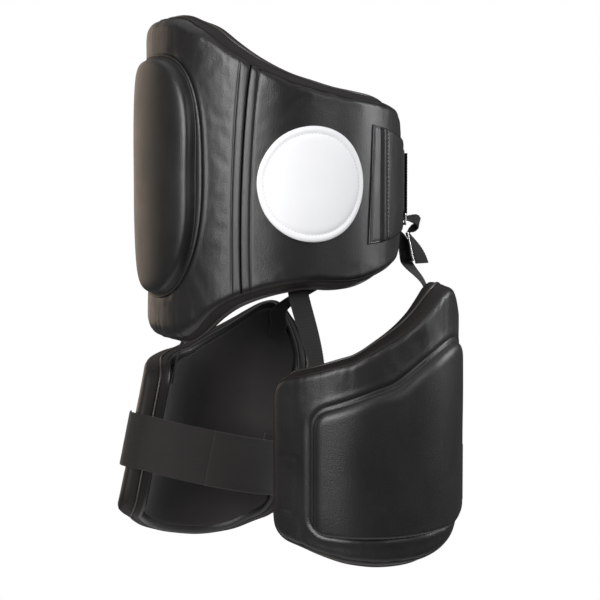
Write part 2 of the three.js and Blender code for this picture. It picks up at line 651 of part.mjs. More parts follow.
// Thigh shells, their trim and straps, and the straps that hang them from the belly wall
THIGH_PLACES.forEach(({ side, sign, x, y, z, lean, sewnAt, strapAt, hungAt }) => {
  const thigh = new THREE.Group();
  thigh.position.set(x, y, z);
  thigh.rotation.x = degToRad(lean);
  thigh.updateMatrix();
  object.add(thigh);

  const thighArc = degToRad(THIGH_RADIUS + THIGH_THICK / 2);
  const ends = [sign * THIGH_FRONT_ANGLE, sign * THIGH_REAR_ANGLE].sort((a, b) => a - b);
  const shell = wallOutline({
    point: thighPoint,
    arc: thighArc,
    start: ends[0],
    end: ends[1],
    rows: THIGH_ROWS,
    corner: THIGH_CORNER_RADIUS,
    thick: () => THIGH_THICK,
  });
  addPiece(thigh, `thigh_pad_${side}`, paddedSection(shell, {
    from: endSide(shell.start),
    to: endSide(shell.end),
    columns: THIGH_COLUMN_CELLS,
    rows: THIGH_ROW_CELLS,
    fromSteps: EDGE_STEPS,
    toSteps: EDGE_STEPS,
    edgeRadius: THIGH_EDGE_RADIUS,
  }), LEATHER);
  addPiece(thigh, `thigh_binding_${side}`, edgeTape(shell, THIGH_TAPE_STEPS, THIGH_EDGE_RADIUS), LEATHER);

  const panelEnds = [THIGH_PANEL_ROWS[0].angle, THIGH_PANEL_ROWS.at(-1).angle];
  const panelSides = panelEnds.map((angle) => sign * angle).sort((a, b) => a - b);
  const panel = wallOutline({
    point: thighPoint,
    arc: thighArc,
    start: panelSides[0],
    end: panelSides[1],
    rows: THIGH_PANEL_ROWS,
    corner: THIGH_PANEL_CORNER,
  });
  const panelLength = (panel.end - panel.start) * thighArc;
  const onPanel = (columnLine, rowLine, layer) => {
    const along = gridLine(columnLine, THIGH_PANEL_COLUMN_CELLS, panelLength, ROLL_STEPS, ROLL_STEPS);
    const angle = panel.start + along / thighArc;
    const foot = panel.bottom(angle);
    const tall = panel.top(angle) - foot;
    const height = foot + gridLine(rowLine, THIGH_PANEL_ROW_CELLS, tall, ROLL_STEPS, ROLL_STEPS);
    const fall = edgeFall(panel, angle, height, THIGH_PANEL_ROLL) / THIGH_PANEL_ROLL;
    const rise = THIGH_PANEL_PROUD - fall * (THIGH_PANEL_PROUD - THIGH_PANEL_RIM);
    return thighPoint(angle, height, THIGH_THICK + SKIN_GAP + layer * rise);
  };
  const panelSolid = gridSolid(THIGH_PANEL_COLUMN_CELLS, THIGH_PANEL_ROW_CELLS, onPanel);
  addPiece(thigh, `thigh_panel_${side}`, panelSolid, LEATHER);

  const onLining = (columnLine, rowLine, layer) => {
    const inset = LINING_INSET / thighArc;
    const angle = lerp(shell.start + inset, shell.end - inset, columnLine / LINING_COLUMN_CELLS);
    const foot = shell.bottom(angle) + LINING_INSET;
    const height = lerp(foot, shell.top(angle) - LINING_INSET, rowLine / LINING_ROW_CELLS);
    return thighPoint(angle, height, -SKIN_GAP - (1 - layer) * LINING_THICK);
  };
  const liningSolid = gridSolid(LINING_COLUMN_CELLS, LINING_ROW_CELLS, onLining);
  addPiece(thigh, `thigh_lining_${side}`, liningSolid, LINING);

  const sewnAngle = sewnAt === 'front' ? sign * THIGH_FRONT_ANGLE : sign * THIGH_REAR_ANGLE;
  const wayRound = sewnAt === 'front' ? -sign : sign;
  const strapPiece = (rows, steps) => {
    const radius = column(rows, 'radius', 'turn');
    return ribbon(steps, STRAP_WIDTH, STRAP_THICK, (share) => {
      const turn = lerp(rows[0].turn, rows.at(-1).turn, share);
      const middle = thighPoint(sewnAngle + wayRound * turn, strapAt, radius(turn) - THIGH_RADIUS);
      return { middle, across: UP };
    });
  };
  addPiece(thigh, `thigh_anchor_${side}`, strapPiece(ANCHOR_ROWS, ANCHOR_STEPS), ELASTIC);
  addPiece(thigh, `thigh_strap_${side}`, strapPiece(ELASTIC_ROWS, ELASTIC_STEPS), ELASTIC);

  const bellyStrapDepth = -2 * SKIN_GAP - WEBBING_THICK;
  const thighStrapDepth = -4 * SKIN_GAP - LINING_THICK - WEBBING_THICK / 2;
  const onBelly = (rise) => ({
    spot: bellyPoint(sign * hungAt, belly.bottom(hungAt) + rise, bellyStrapDepth),
    facing: sign * hungAt,
  });
  const onThigh = (angle, rise) => {
    const height = shell.top(sign * angle) + rise;
    const spot = thighPoint(sign * angle, height, thighStrapDepth).applyMatrix4(thigh.matrix);
    return { spot, facing: sign * angle };
  };
  addPiece(object, `hip_strap_front_${side}`, hipStrap([
    onBelly(STRAP_TUCK),
    onBelly(STRAP_TUCK / 2),
    onBelly(-BELLY_CLEARANCE),
    onThigh(FRONT_STRAP_ANGLE, THIGH_CLEARANCE),
    onThigh(FRONT_STRAP_ANGLE, -STRAP_TUCK / 2),
    onThigh(FRONT_STRAP_ANGLE, -STRAP_TUCK),
  ], FRONT_STRAP_STEPS), WEBBING);

  const hang = bellyPoint(sign * HANG_ANGLE, 0, bandDepth(HANG_ANGLE));
  const facing = sign * HANG_FACING;
  const outward = outOfWall(facing);
  addPiece(object, `ring_loop_${side}`, ringLoop(hang, outward, roundWall(facing)), WEBBING);
  const ringFrame = slottedPlate(RING_WIDTH, RING_HEIGHT, RING_BAR, 1);
  const ring = addPiece(object, `strap_ring_${side}`, ringFrame, STEEL);
  hangPlate(ring, hang.clone().setZ(RING_DROP), facing, 0);

  const foldOutward = outOfWall(sign * FOLD_FACING);
  const stops = REAR_STRAP_ROWS.map((row) => ({
    spot: hang.clone().addScaledVector(foldOutward, row.out).setZ(row.height),
    facing: sign * row.facing,
  }));
  [THIGH_CLEARANCE, -STRAP_TUCK / 2, -STRAP_TUCK].forEach((rise) => {
    stops.push(onThigh(REAR_STRAP_ANGLE, rise));
  });
  addPiece(object, `hip_strap_rear_${side}`, hipStrap(stops, REAR_STRAP_STEPS), WEBBING);

  const slideFrame = slottedPlate(SLIDE_WIDTH, SLIDE_HEIGHT, SLIDE_BAR, 2);
  const slide = addPiece(object, `strap_slide_${side}`, slideFrame, STEEL);
  const slideSpot = hang.clone().addScaledVector(foldOutward, SLIDE_OUT).setZ(SLIDE_DROP);
  hangPlate(slide, slideSpot, sign * SLIDE_FACING, SLIDE_LEAN);
});

export default object;
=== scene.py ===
# %% [markdown]
# # A trainer's belly pad with thigh pads
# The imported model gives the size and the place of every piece. This lesson dresses it: each padded
# wall, tape, strap and buckle is modelled again with the seams, stitches, weave and grain that the
# real one has, and stands where its plain solid stands.

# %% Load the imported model
import bisect
import math
from collections import namedtuple

import bmesh
import bpy
import numpy as np
from mathutils import Matrix, Vector, noise


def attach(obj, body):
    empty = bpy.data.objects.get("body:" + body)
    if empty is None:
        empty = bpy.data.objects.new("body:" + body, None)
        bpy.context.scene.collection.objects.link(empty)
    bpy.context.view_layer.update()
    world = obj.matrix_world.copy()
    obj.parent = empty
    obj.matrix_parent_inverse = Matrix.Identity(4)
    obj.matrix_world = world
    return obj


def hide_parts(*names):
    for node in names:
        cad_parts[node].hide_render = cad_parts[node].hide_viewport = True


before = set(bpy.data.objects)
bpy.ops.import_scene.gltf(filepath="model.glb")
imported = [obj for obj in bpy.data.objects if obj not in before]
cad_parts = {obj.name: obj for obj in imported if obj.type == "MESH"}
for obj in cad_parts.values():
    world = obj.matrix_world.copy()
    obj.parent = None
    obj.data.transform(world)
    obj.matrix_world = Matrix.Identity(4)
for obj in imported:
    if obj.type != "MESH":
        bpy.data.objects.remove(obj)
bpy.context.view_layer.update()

MM = 0.001

# %% [markdown]
# ## Camera
# The photo was taken with a long lens from the pad's left front, a little above its middle. A
# camera needs only a direction, a distance, a point to look at and a lens. They are worked out
# from how large and how high the pad sits in the frame, so the lens shift stays at zero.

# %% Camera
VIEW_AZIMUTH = 66
VIEW_ELEVATION = 4.3
VIEW_DISTANCE = 2.4
LENS = 115.2
SENSOR = 36.0
AIM_RIGHT = 0.03125
AIM_DOWN = 0.1375


def outward(azimuth, elevation):
    """The direction out of the object at an azimuth and an elevation, in degrees."""
    around, up = math.radians(azimuth), math.radians(elevation)
    return Vector((math.sin(around) * math.cos(up), -math.cos(around) * math.cos(up), math.sin(up)))


to_camera = outward(VIEW_AZIMUTH, VIEW_ELEVATION)
to_right = outward(VIEW_AZIMUTH + 90, 0)
to_top = to_camera.cross(to_right)
aim = AIM_RIGHT * to_right - AIM_DOWN * to_top

camera = bpy.data.objects.new("camera", bpy.data.cameras.new("camera"))
camera.data.lens = LENS
camera.data.sensor_width = SENSOR
turned = Matrix((to_right, to_top, to_camera)).transposed().to_4x4()
camera.matrix_world = Matrix.Translation(aim + VIEW_DISTANCE * to_camera) @ turned
bpy.context.collection.objects.link(camera)
bpy.context.scene.camera = camera
print("camera at", [round(value, 3) for value in camera.location])

# %% [markdown]
# ## Studio light
# Black leather shows almost nothing but reflections, so what counts is where the bright things
# around it are. Two tall softboxes stand left and right of the camera and draw the broad grey sheen
# on the walls, a weak one fills the side between them, a weak warm one far to the left draws the light
# rim of the front, a soft glow from above lights the rounded upper edges, and the room stays dim.

# %% Lights
LAMP_DISTANCE = 2.2


def softbox(name, azimuth, elevation, size, power, tint):
    """A flat soft lamp that faces the middle of the object."""
    lamp = bpy.data.lights.new(name, "AREA")
    lamp.shape = "RECTANGLE"
    lamp.size, lamp.size_y = size
    lamp.energy = power
    lamp.color = tint
    way = outward(azimuth, elevation)
    turned = way.to_track_quat("Z", "Y").to_matrix().to_4x4()
    stand = bpy.data.objects.new(name, lamp)
    stand.matrix_world = Matrix.Translation(aim + LAMP_DISTANCE * way) @ turned
    bpy.context.collection.objects.link(stand)


softbox("softbox_left", 32, 13, (1.2, 0.95), 45, (1.0, 0.99, 0.98))
softbox("softbox_right", 161, 14, (0.8, 0.95), 23, (0.98, 0.99, 1.0))
softbox("softbox_side", 112, 18, (0.9, 0.9), 9, (0.99, 0.99, 1.0))
softbox("softbox_far", -72, 10, (2.0, 1.5), 8.5, (1.0, 0.8, 0.62))

ceiling = bpy.data.lights.new("ceiling", "SUN")
ceiling.energy = 1.2
ceiling.angle = math.radians(100)
bpy.context.collection.objects.link(bpy.data.objects.new("ceiling", ceiling))

room = bpy.data.worlds.new("room")
bpy.context.scene.world = room
room.use_nodes = True
bpy.context.scene.view_settings.view_transform = "Standard"
print("lamps:", [lamp.name for lamp in bpy.data.lights])

# %% [markdown]
# ## Node maths as Python
# A material is a graph of nodes. Written out node by node it is long and hard to read, so one small
# class wraps an output socket: adding or multiplying two of them adds a Math node, and one method
# makes any other node. After this, a finish reads like a formula.

# %% Signals
class Signal:
    """An output socket of a node tree. Python's operators on it add Math nodes."""

    def __init__(self, tree, socket=None):
        self.tree = tree
        self.socket = socket

    def node(self, kind, inputs=(), out=0, **settings):
        made = self.tree.nodes.new("ShaderNode" + kind)
        for key, value in settings.items():
            setattr(made, key, value)
        for key, value in dict(inputs).items():
            if isinstance(value, Signal):
                self.tree.links.new(value.socket, made.inputs[key])
            else:
                made.inputs[key].default_value = value
        return Signal(self.tree, made.outputs[out] if made.outputs else None)

    def math(self, operation, *values):
        return self.node("Math", enumerate(values), operation=operation)

    def __add__(self, other):
        return self.math("ADD", self, other)

    def __sub__(self, other):
        return self.math("SUBTRACT", self, other)

    def __rsub__(self, other):
        return self.math("SUBTRACT", other, self)

    def __mul__(self, other):
        return self.math("MULTIPLY", self, other)

    __radd__ = __add__
    __rmul__ = __mul__


def between(share, low, high):
    """A colour between two colours."""
    return share.node("Mix", {0: share, 6: (*low, 1), 7: (*high, 1)}, out=2, data_type="RGBA")


def new_finish(name):
    """An empty material, and a signal to start its graph from."""
    finish = bpy.data.materials.new(name)
    finish.use_nodes = True
    finish.node_tree.nodes.clear()
    return finish, Signal(finish.node_tree)


def surface(graph, **sockets):
    """Closes a graph: a surface shader and the material's output."""
    named = {}
    for key, value in sockets.items():
        named[key.replace("_", " ").title().replace("Ior", "IOR")] = value
    shader = graph.node("BsdfPrincipled", named)
    graph.node("OutputMaterial", {"Surface": shader})


# %% [markdown]
# ## Room and floor
# The backdrop is plain white, but a white room would wash out black leather. So the room looks white and
# lights the pad only a little, which one node can tell apart. A pale disc below the pad is the floor.

# %% Room and floor
FLOOR_HEIGHT = -0.62
FLOOR_RADIUS = 0.4
ROOM_GLOW = 0.12
paint = room.node_tree
paint.nodes.clear()
walls = Signal(paint)
seen = walls.node("LightPath", out="Is Camera Ray")
glow = seen * (1 - ROOM_GLOW) + ROOM_GLOW
backdrop = walls.node("Background", {"Color": (1, 1, 1, 1), "Strength": glow})
walls.node("OutputWorld", {"Surface": backdrop})

floor_paint, graph = new_finish("floor_paint")
place = graph.node("TexCoord", out="Object")
patches = graph.node("TexNoise", {"Vector": place, "Scale": 1.5, "Detail": 2.0})
surface(graph, base_color=between(patches, (0.86, 0.86, 0.86), (0.9, 0.9, 0.9)), roughness=0.9)
bm = bmesh.new()
bmesh.ops.create_circle(bm, cap_ends=True, segments=96, radius=FLOOR_RADIUS)
bmesh.ops.translate(bm, verts=bm.verts, vec=(0, 0, FLOOR_HEIGHT))
floor = bpy.data.objects.new("floor", bpy.data.meshes.new("floor"))
bm.to_mesh(floor.data)
bm.free()
floor.data.materials.append(floor_paint)
bpy.context.collection.objects.link(floor)
print(f"floor {abs(FLOOR_HEIGHT)} m below the waist")

# %% [markdown]
# ## Leather
# The skins are black synthetic leather: a fine pebbled grain, faint long creases that run up the
# walls, and a satin gloss that is a little uneven where the foam has been struck. The colour is painted
# darker in the hollows of the creases and lighter on their ridges, as painted shade. The grain comes from
# cells in space, so it has one size on every piece and needs no unwrapping.

# %% Leather finishes
def leather(name, dark, light, gloss, grain_depth, shine_level=0.5):
    """Grained leather: cells for the pebbles, stretched noise for creases with painted shade in their
    hollows, soft noise for wear.
    """
    finish, graph = new_finish(name)
    place = graph.node("TexCoord", out="Object")
    pebbles = graph.node("TexVoronoi", {"Vector": place, "Scale": 1000.0}, out="Distance",
                         feature="SMOOTH_F1")
    upright = graph.node("Mapping", {"Vector": place, "Scale": (210, 210, 26)})
    creases_and_shade = graph.node("TexNoise", {"Vector": upright, "Scale": 1.0, "Detail": 5.0, "Roughness": 0.6})
    wear = graph.node("TexNoise", {"Vector": place, "Scale": 17.0, "Detail": 4.0, "Roughness": 0.55})
    fine = graph.node("TexNoise", {"Vector": place, "Scale": 900.0, "Detail": 2.0})
    height = creases_and_shade * 0.5 - pebbles * 0.9 + fine * 0.3
    bumps = graph.node("Bump", {"Height": height, "Strength": 0.35, "Distance": grain_depth})
    # Painted shade: the colour follows the crease relief, darker in the crease hollows and lighter on
    # their ridges; the wear noise adds random tone.
    shade = wear * 0.75 + creases_and_shade * 0.35 - 0.1
    shine = gloss + (wear - 0.5) * 0.22 + (fine - 0.5) * 0.1
    surface(graph, base_color=between(shade, dark, light), roughness=shine, normal=bumps,
            specular_ior_level=shine_level)
    return finish


black_leather = leather("black_leather", (0.006, 0.006, 0.006), (0.015, 0.015, 0.0155), 0.38, 0.0005)
edge_leather = leather("edge_leather", (0.005, 0.004, 0.0036), (0.012, 0.0095, 0.0085), 0.6, 0.0004, 0.3)
# The piping is painted several times lighter than the black leather: a painted highlight line along the
# edge.
piping_painted_highlight = leather("piping_painted_highlight", (0.02, 0.018, 0.016), (0.04, 0.036, 0.032), 0.32, 0.0002)
white_leather = leather("white_leather", (0.84, 0.85, 0.87), (0.9, 0.91, 0.93), 0.62, 0.0003)
print("leathers:", black_leather.name, edge_leather.name, piping_painted_highlight.name, white_leather.name)

# %% [markdown]
# ## Cloth, thread and metal
# Webbing, elastic and lining are woven, so their pattern has to follow the strap and not the room. Each
# of those pieces carries a map of its own in metres, along and across, and the weave is made of
# sine waves on that map. The buckles are plated steel with fine rubbed marks.

# %% Woven finishes
def woven(name, dark, light, pitch_along, pitch_across, depth, fuzz):
    """A plain weave: ribs along and across the piece's own map."""
    finish, graph = new_finish(name)
    flat_map = graph.node("UVMap")
    parts = graph.node("SeparateXYZ", {"Vector": flat_map}).socket.node
    along = Signal(graph.tree, parts.outputs["X"])
    across = Signal(graph.tree, parts.outputs["Y"])
    over = along.math("SINE", along * (math.tau / pitch_along))
    under = across.math("SINE", across * (math.tau / pitch_across))
    knots = over * under * 0.5 + 0.5
    place = graph.node("TexCoord", out="Object")
    lint = graph.node("TexNoise", {"Vector": place, "Scale": 800.0, "Detail": 3.0})
    patches = graph.node("TexNoise", {"Vector": place, "Scale": 35.0, "Detail": 3.0})
    height = knots + lint * 0.8
    bumps = graph.node("Bump", {"Height": height, "Strength": 0.6, "Distance": depth})
    shade = knots * 0.45 + lint * 0.35 + patches * 0.5 - 0.15
    surface(graph, base_color=between(shade, dark, light), roughness=0.78 + lint * 0.2, normal=bumps,
            sheen_weight=fuzz)
    return finish


webbing = woven("webbing", (0.004, 0.004, 0.004), (0.018, 0.0172, 0.0165), 0.0036, 0.0022, 0.0004, 0.08)
elastic = woven("elastic", (0.004, 0.0036, 0.0032), (0.014, 0.0125, 0.0115), 0.0016, 0.0013, 0.0003,
                0.15)
lining = woven("lining", (0.008, 0.007, 0.007), (0.022, 0.020, 0.019), 0.0022, 0.0022, 0.0003, 0.15)
print("weaves:", webbing.name, elastic.name, lining.name)

# %% Thread and steel
def thread(name, dark, light):
    """Twisted sewing thread."""
    finish, graph = new_finish(name)
    place = graph.node("TexCoord", out="Object")
    twist = graph.node("TexNoise", {"Vector": place, "Scale": 1400.0, "Detail": 2.0})
    bumps = graph.node("Bump", {"Height": twist, "Strength": 0.5, "Distance": 0.0002})
    surface(graph, base_color=between(twist, dark, light), roughness=0.6 + twist * 0.2, normal=bumps)
    return finish


black_thread = thread("black_thread", (0.003, 0.003, 0.003), (0.012, 0.0115, 0.011))
white_thread = thread("white_thread", (0.6, 0.6, 0.6), (0.8, 0.8, 0.8))

steel, graph = new_finish("steel")
place = graph.node("TexCoord", out="Object")
rubbed = graph.node("TexNoise", {"Vector": place, "Scale": 90.0, "Detail": 2.0})
surface(graph, base_color=between(rubbed, (0.58, 0.58, 0.58), (0.72, 0.72, 0.72)), metallic=1.0,
        roughness=0.2 + rubbed * 0.14)
print("thread and metal:", black_thread.name, white_thread.name, steel.name)

# %% [markdown]
# ## Walls round a body
# All the pads are walls that bend round a waist or a thigh. It is easier to say where something is on
# such a wall than in space: an angle round the body, a height, and a depth out of the inner face. A
# wall keeps its edges as smooth curves through a few measured points and turns those three into a point.

# %% Smooth curves
def through(points):
    """A smooth curve through (place, value) points."""
    places, values = (list(column) for column in zip(*points))
    last = len(points) - 1
    steps = [(values[i + 1] - values[i]) / (places[i + 1] - places[i]) for i in range(last)]
    slopes = [(values[i + 1] - values[i - 1]) / (places[i + 1] - places[i - 1]) for i in range(1, last)]
    slopes = [1.5 * steps[0] - 0.5 * slopes[0], *slopes, 1.5 * steps[-1] - 0.5 * slopes[-1]]

    def read(spot):
        i = min(max(bisect.bisect_right(places, spot) - 1, 0), last - 1)
        span = places[i + 1] - places[i]
        t = min(max((spot - places[i]) / span, 0), 1)
        keep, turn = (1 + 2 * t) * (1 - t) ** 2, t * (1 - t) ** 2
        return (keep * values[i] + turn * span * slopes[i] + (1 - keep) * values[i + 1]
                - t * t * (1 - t) * span * slopes[i + 1])

    return read


def round_off(distance, radius):
    """How far a rounded edge falls back at a distance in from it."""
    inside = min(max(radius - distance, 0), radius)
    return radius - math.sqrt(radius * radius - inside * inside)


def dip(distance, width):
    """A soft groove: 1 on its line and 0 away from it."""
    return math.exp(-((distance / width) ** 2))


# %% Walls
SLOPE_STEP = 0.05
SKIN_DRAW = 25
Row = namedtuple("Row", "angle top bottom")


class Wall:
    """A padded wall round a body: millimetres, and degrees from the front."""

    def __init__(self, point, arc, ends, rows, corner, thick, roll=None, lean=None):
        self.point, self.arc, self.corner, self.thick = point, arc, corner, thick
        self.roll, self.lean = roll, lean
        self.start, self.end = ends
        self.top_line = through([(row.angle, row.top) for row in rows])
        self.bottom_line = through([(row.angle, row.bottom) for row in rows])

    def from_end(self, angle):
        return min(angle - self.start, self.end - angle) * self.arc

    def top(self, angle):
        return self.top_line(abs(angle)) - round_off(self.from_end(angle), self.corner)

    def bottom(self, angle):
        return self.bottom_line(abs(angle)) + round_off(self.from_end(angle), self.corner)

    def slope(self, edge, angle):
        near = min(max(angle, self.start + SLOPE_STEP), self.end - SLOPE_STEP)
        return (edge(near + SLOPE_STEP) - edge(near - SLOPE_STEP)) / (2 * SLOPE_STEP * self.arc)

    def from_edges(self, angle, height):
        """Distances to the top edge, the bottom edge and the nearer end, square to each."""
        above = (self.top(angle) - height) / math.hypot(1, self.slope(self.top, angle))
        below = (height - self.bottom(angle)) / math.hypot(1, self.slope(self.bottom, angle))
        return max(above, 0), max(below, 0), max(self.from_end(angle), 0)

    def drawn(self, angle, height):
        """How far the outer skin is drawn up at the foot and down at the top, fading away from them."""
        above, below, _ = self.from_edges(angle, height)
        down = dip(above, SKIN_DRAW) / math.hypot(1, self.slope(self.top, angle))
        up = dip(below, SKIN_DRAW) / math.hypot(1, self.slope(self.bottom, angle))
        return self.lean(angle) * (up - down)


# %% [markdown]
# The waist is an oval, so a point goes out from it square to the oval. The thighs are round, and each
# has a frame of its own: the right thigh is forward and leans, which one matrix says.

# %% Waist and thighs
WAIST_HALF_WIDTH = 128
WAIST_HALF_DEPTH = 120
THIGH_RADIUS = 88
THIGH_THICK = 34


def waist_point(angle, height, depth):
    turn = math.radians(angle)
    across, along = math.sin(turn), -math.cos(turn)
    out = Vector((across / WAIST_HALF_WIDTH, along / WAIST_HALF_DEPTH, 0)).normalized()
    return (Vector((WAIST_HALF_WIDTH * across, WAIST_HALF_DEPTH * along, height)) + depth * out) * MM


def thigh_point(stance):
    def point(angle, height, depth):
        turn = math.radians(angle)
        radius = THIGH_RADIUS + depth
        return stance @ (Vector((radius * math.sin(turn), -radius * math.cos(turn), height)) * MM)
    return point


Thigh = namedtuple("Thigh", "side sign stance sewn_at strap_at hung_at")
thighs = [
    Thigh("left", 1, Matrix.Translation(Vector((104, 66, -290)) * MM), "front", -56, 79),
    Thigh("right", -1, Matrix.Translation(Vector((-104, -24, -318)) * MM)
          @ Matrix.Rotation(math.radians(-12), 4, "X"), "rear", -30, 60),
]
SIDES = [("left", 1), ("right", -1)]

# %% [markdown]
# ## From a box to a pad
# A pad starts as a plain cube. Subdividing its edges along one axis after the other gives a closed box
# of tidy quads, and moving each corner to its place on a wall bends the box into the pad. The lines
# lie close together beside edges and seams, where the shape turns sharply.

# %% Boxes of quads
def lattice(columns, rows, layers):
    """A closed box whose corners count from 0 to columns, rows and layers."""
    cells = Vector((columns, rows, layers))
    bm = bmesh.new()
    bmesh.ops.create_cube(bm, size=1)
    for axis in range(3):
        along = []
        for edge in bm.edges:
            if abs(edge.verts[0].co[axis] - edge.verts[1].co[axis]) > 0.5:
                along.append(edge)
        if cells[axis] > 1:
            bmesh.ops.subdivide_edges(bm, edges=along, cuts=int(cells[axis]) - 1, use_grid_fill=True)
    for vert in bm.verts:
        vert.co = [round((vert.co[axis] + 0.5) * cells[axis]) for axis in range(3)]
    return bm


def spaced(length, cells, first, last):
    """Distances of lines along a stretch, with the given close steps beside both ends."""
    middle = cells - len(first) - len(last) + 2
    even = np.linspace(first[-1], length - last[-1], middle + 1).tolist()
    return [*first[:-1], *even, *(length - step for step in reversed(last[:-1]))]


def bend(bm, place):
    """Moves every corner to where place says: place gives a point and a spot on the piece's own map."""
    spots = {}
    for vert in bm.verts:
        vert.co, spots[vert] = place(*vert.co)
    flat_map = bm.loops.layers.uv.new("map")
    for face in bm.faces:
        for loop in face.loops:
            loop[flat_map].uv = spots[loop.vert]


def piece(name, bm, finish, slot, *nodes):
    """Makes an object of a bmesh, with its finish and its place in the frame."""
    bmesh.ops.recalc_face_normals(bm, faces=bm.faces)
    mesh = bpy.data.meshes.new(name)
    bm.to_mesh(mesh)
    bm.free()
    mesh.shade_smooth()
    mesh.materials.append(finish)
    made = bpy.data.objects.new(name, mesh)
    bpy.context.collection.objects.link(made)
    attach(made, "root")
    if nodes:
        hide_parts(*nodes)
    print(f"{name}: {len(mesh.vertices)} corners")
    return made


def soften(made):
    """One round of subdivision, the same in view and in render."""
    modifier = made.modifiers.new("soften", "SUBSURF")
    modifier.levels = modifier.render_levels = 1


# %% [markdown]
# ## Letting the skins settle
# Leather sewn over foam is a little too long for its place, so it puckers beside the seams and swells
# between them. That is hard to draw and easy to simulate: the seams are held, the foam pulls each point
# softly back, the skin is made slightly larger and pressed out from inside. After a few frames the
# shape is kept, with a limit on how far a point may go, and the simulation is removed.

# %% Cloth
SETTLE_FRAMES = 20


def settle(made, held, slack, pressure, limit):
    """Simulates a skin. held says how firmly each point is kept, 0 to 1; limit is in millimetres."""
    scene = bpy.context.scene
    group = made.vertex_groups.new(name="held")
    for index, firmness in enumerate(held):
        group.add([index], firmness, "REPLACE")
    cloth = made.modifiers.new("settle", "CLOTH")
    skin = cloth.settings
    skin.quality = 4
    skin.mass = 0.25
    skin.tension_stiffness = skin.compression_stiffness = 25
    skin.shear_stiffness = 12
    skin.bending_stiffness = 0.6
    skin.air_damping = 3
    skin.vertex_group_mass = "held"
    skin.pin_stiffness = 1.5
    skin.shrink_min = -slack
    skin.use_pressure = True
    skin.uniform_pressure_force = pressure
    skin.effector_weights.gravity = 0
    cloth.collision_settings.use_collision = False
    for step in range(1, SETTLE_FRAMES + 1):
        scene.frame_set(step)
    mesh = made.data
    settled = made.evaluated_get(bpy.context.evaluated_depsgraph_get()).data
    before = np.empty(len(mesh.vertices) * 3)
    after = np.empty_like(before)
    mesh.vertices.foreach_get("co", before)
    settled.vertices.foreach_get("co", after)
    move = (after - before).reshape(-1, 3)
    far = np.linalg.norm(move, axis=1, keepdims=True)
    move *= np.minimum(1, limit * MM / np.maximum(far, 1e-9))
    made.modifiers.remove(cloth)
    made.vertex_groups.remove(group)
    mesh.vertices.foreach_set("co", before + move.ravel())
    mesh.update()
    scene.frame_set(1)
    print(f"{made.name} settled: up to {far.max() / MM:.1f} mm, mostly {np.median(far) / MM:.2f} mm")


def upholster(made, held, slack, pressure, limit):
    settle(made, held, slack, pressure, limit)
    soften(made)


# %% [markdown]
# ## The belly wall
# The belly wall is three padded sections sewn side by side. The seams lean and bow a little, and a tape
# under the leather leaves a soft groove on each side of them. At the top, the bottom and the rear ends
# the skin rolls over to a narrow face, the gusset. The outer skin is cut a little shorter than the inner
# one, so the gusset leans and shows from outside, and small pleats form where the skin turns. In front
# the gusset stands square and the skin rolls over in a wider curve.

# %% Belly wall values
BELLY_END = 153
BELLY_CORNER = 43
FRONT_THICK = 38
belly_rows = [
    Row(0, 207.5, -179), Row(16, 206.5, -178), Row(27, 200, -168), Row(36, 192.5, -152),
    Row(46, 176, -137.5), Row(58, 157.5, -126.5), Row(72, 141, -118.5), Row(84, 132, -115.5),
    Row(95, 125, -117), Row(106, 121, -115.5), Row(122, 116, -106.5), Row(138, 109, -95),
    Row(152, 103, -90),
]
belly_thick = through([(0, FRONT_THICK), (36, FRONT_THICK), (58, 37), (90, 36), (122, 35.5), (152, 35)])
belly_roll = through([(0, 18), (20, 17), (32, 13), (44, 10), (152, 10)])
belly_lean = through([(0, 0), (20, 0.5), (30, 4), (42, 8), (60, 9), (152, 9)])
belly_arc = math.radians(1) * (WAIST_HALF_WIDTH + WAIST_HALF_DEPTH + FRONT_THICK) / 2


def both_ways(curve):
    """The same curve to the left and to the right of the front."""
    return lambda angle: curve(abs(angle))


belly = Wall(waist_point, belly_arc, (-BELLY_END, BELLY_END), belly_rows, BELLY_CORNER,
             *map(both_ways, (belly_thick, belly_roll, belly_lean)))
belly_tall = belly.top(0) - belly.bottom(0)
print(f"belly wall: {2 * BELLY_END * belly.arc:.0f} mm round, {belly_tall:.0f} mm tall in front")

# %% [markdown]
# A section lies between two sides. A side is the end of the wall or a seam, and its angle at the top, at
# the foot and the bow between them say where it runs. The grid has close lines at both, so the roll, the
# crease and the tape's groove are all real shape.

# %% Padded sections
INNER_ROLL = 5
GUSSET_CROWN = 1.2
LAYERS = 5
EDGE_LINES = [0, 1.2, 3, 5.5, 9, 13, 18]
SEAM_LINES = [0, 0.5, 1.2, 2.4, 4.6, 7, 8.6, 9.6, 10.3, 11, 12, 14, 17]
SEAM_ROUND = 1.9
TAPE_LINE = 11.6
SKIN_STRETCH = 1.13
NO_SEAM = 999
EDGE_HOLD, SEAM_HOLD = 6, 16
SEWN_FIRM, FOAM_FIRM = 0.95, 0.12
Side = namedtuple("Side", "top bottom bow sewn")


def seam_fall(distance):
    """How deep the skin lies beside a seam: a tight crease, a full strip and the groove of the tape."""
    strip = 0.45 * max(1 - (2 * distance / TAPE_LINE - 1) ** 2, 0)
    return round_off(distance, SEAM_ROUND) - strip + 0.8 * dip(distance - TAPE_LINE, 1.3)


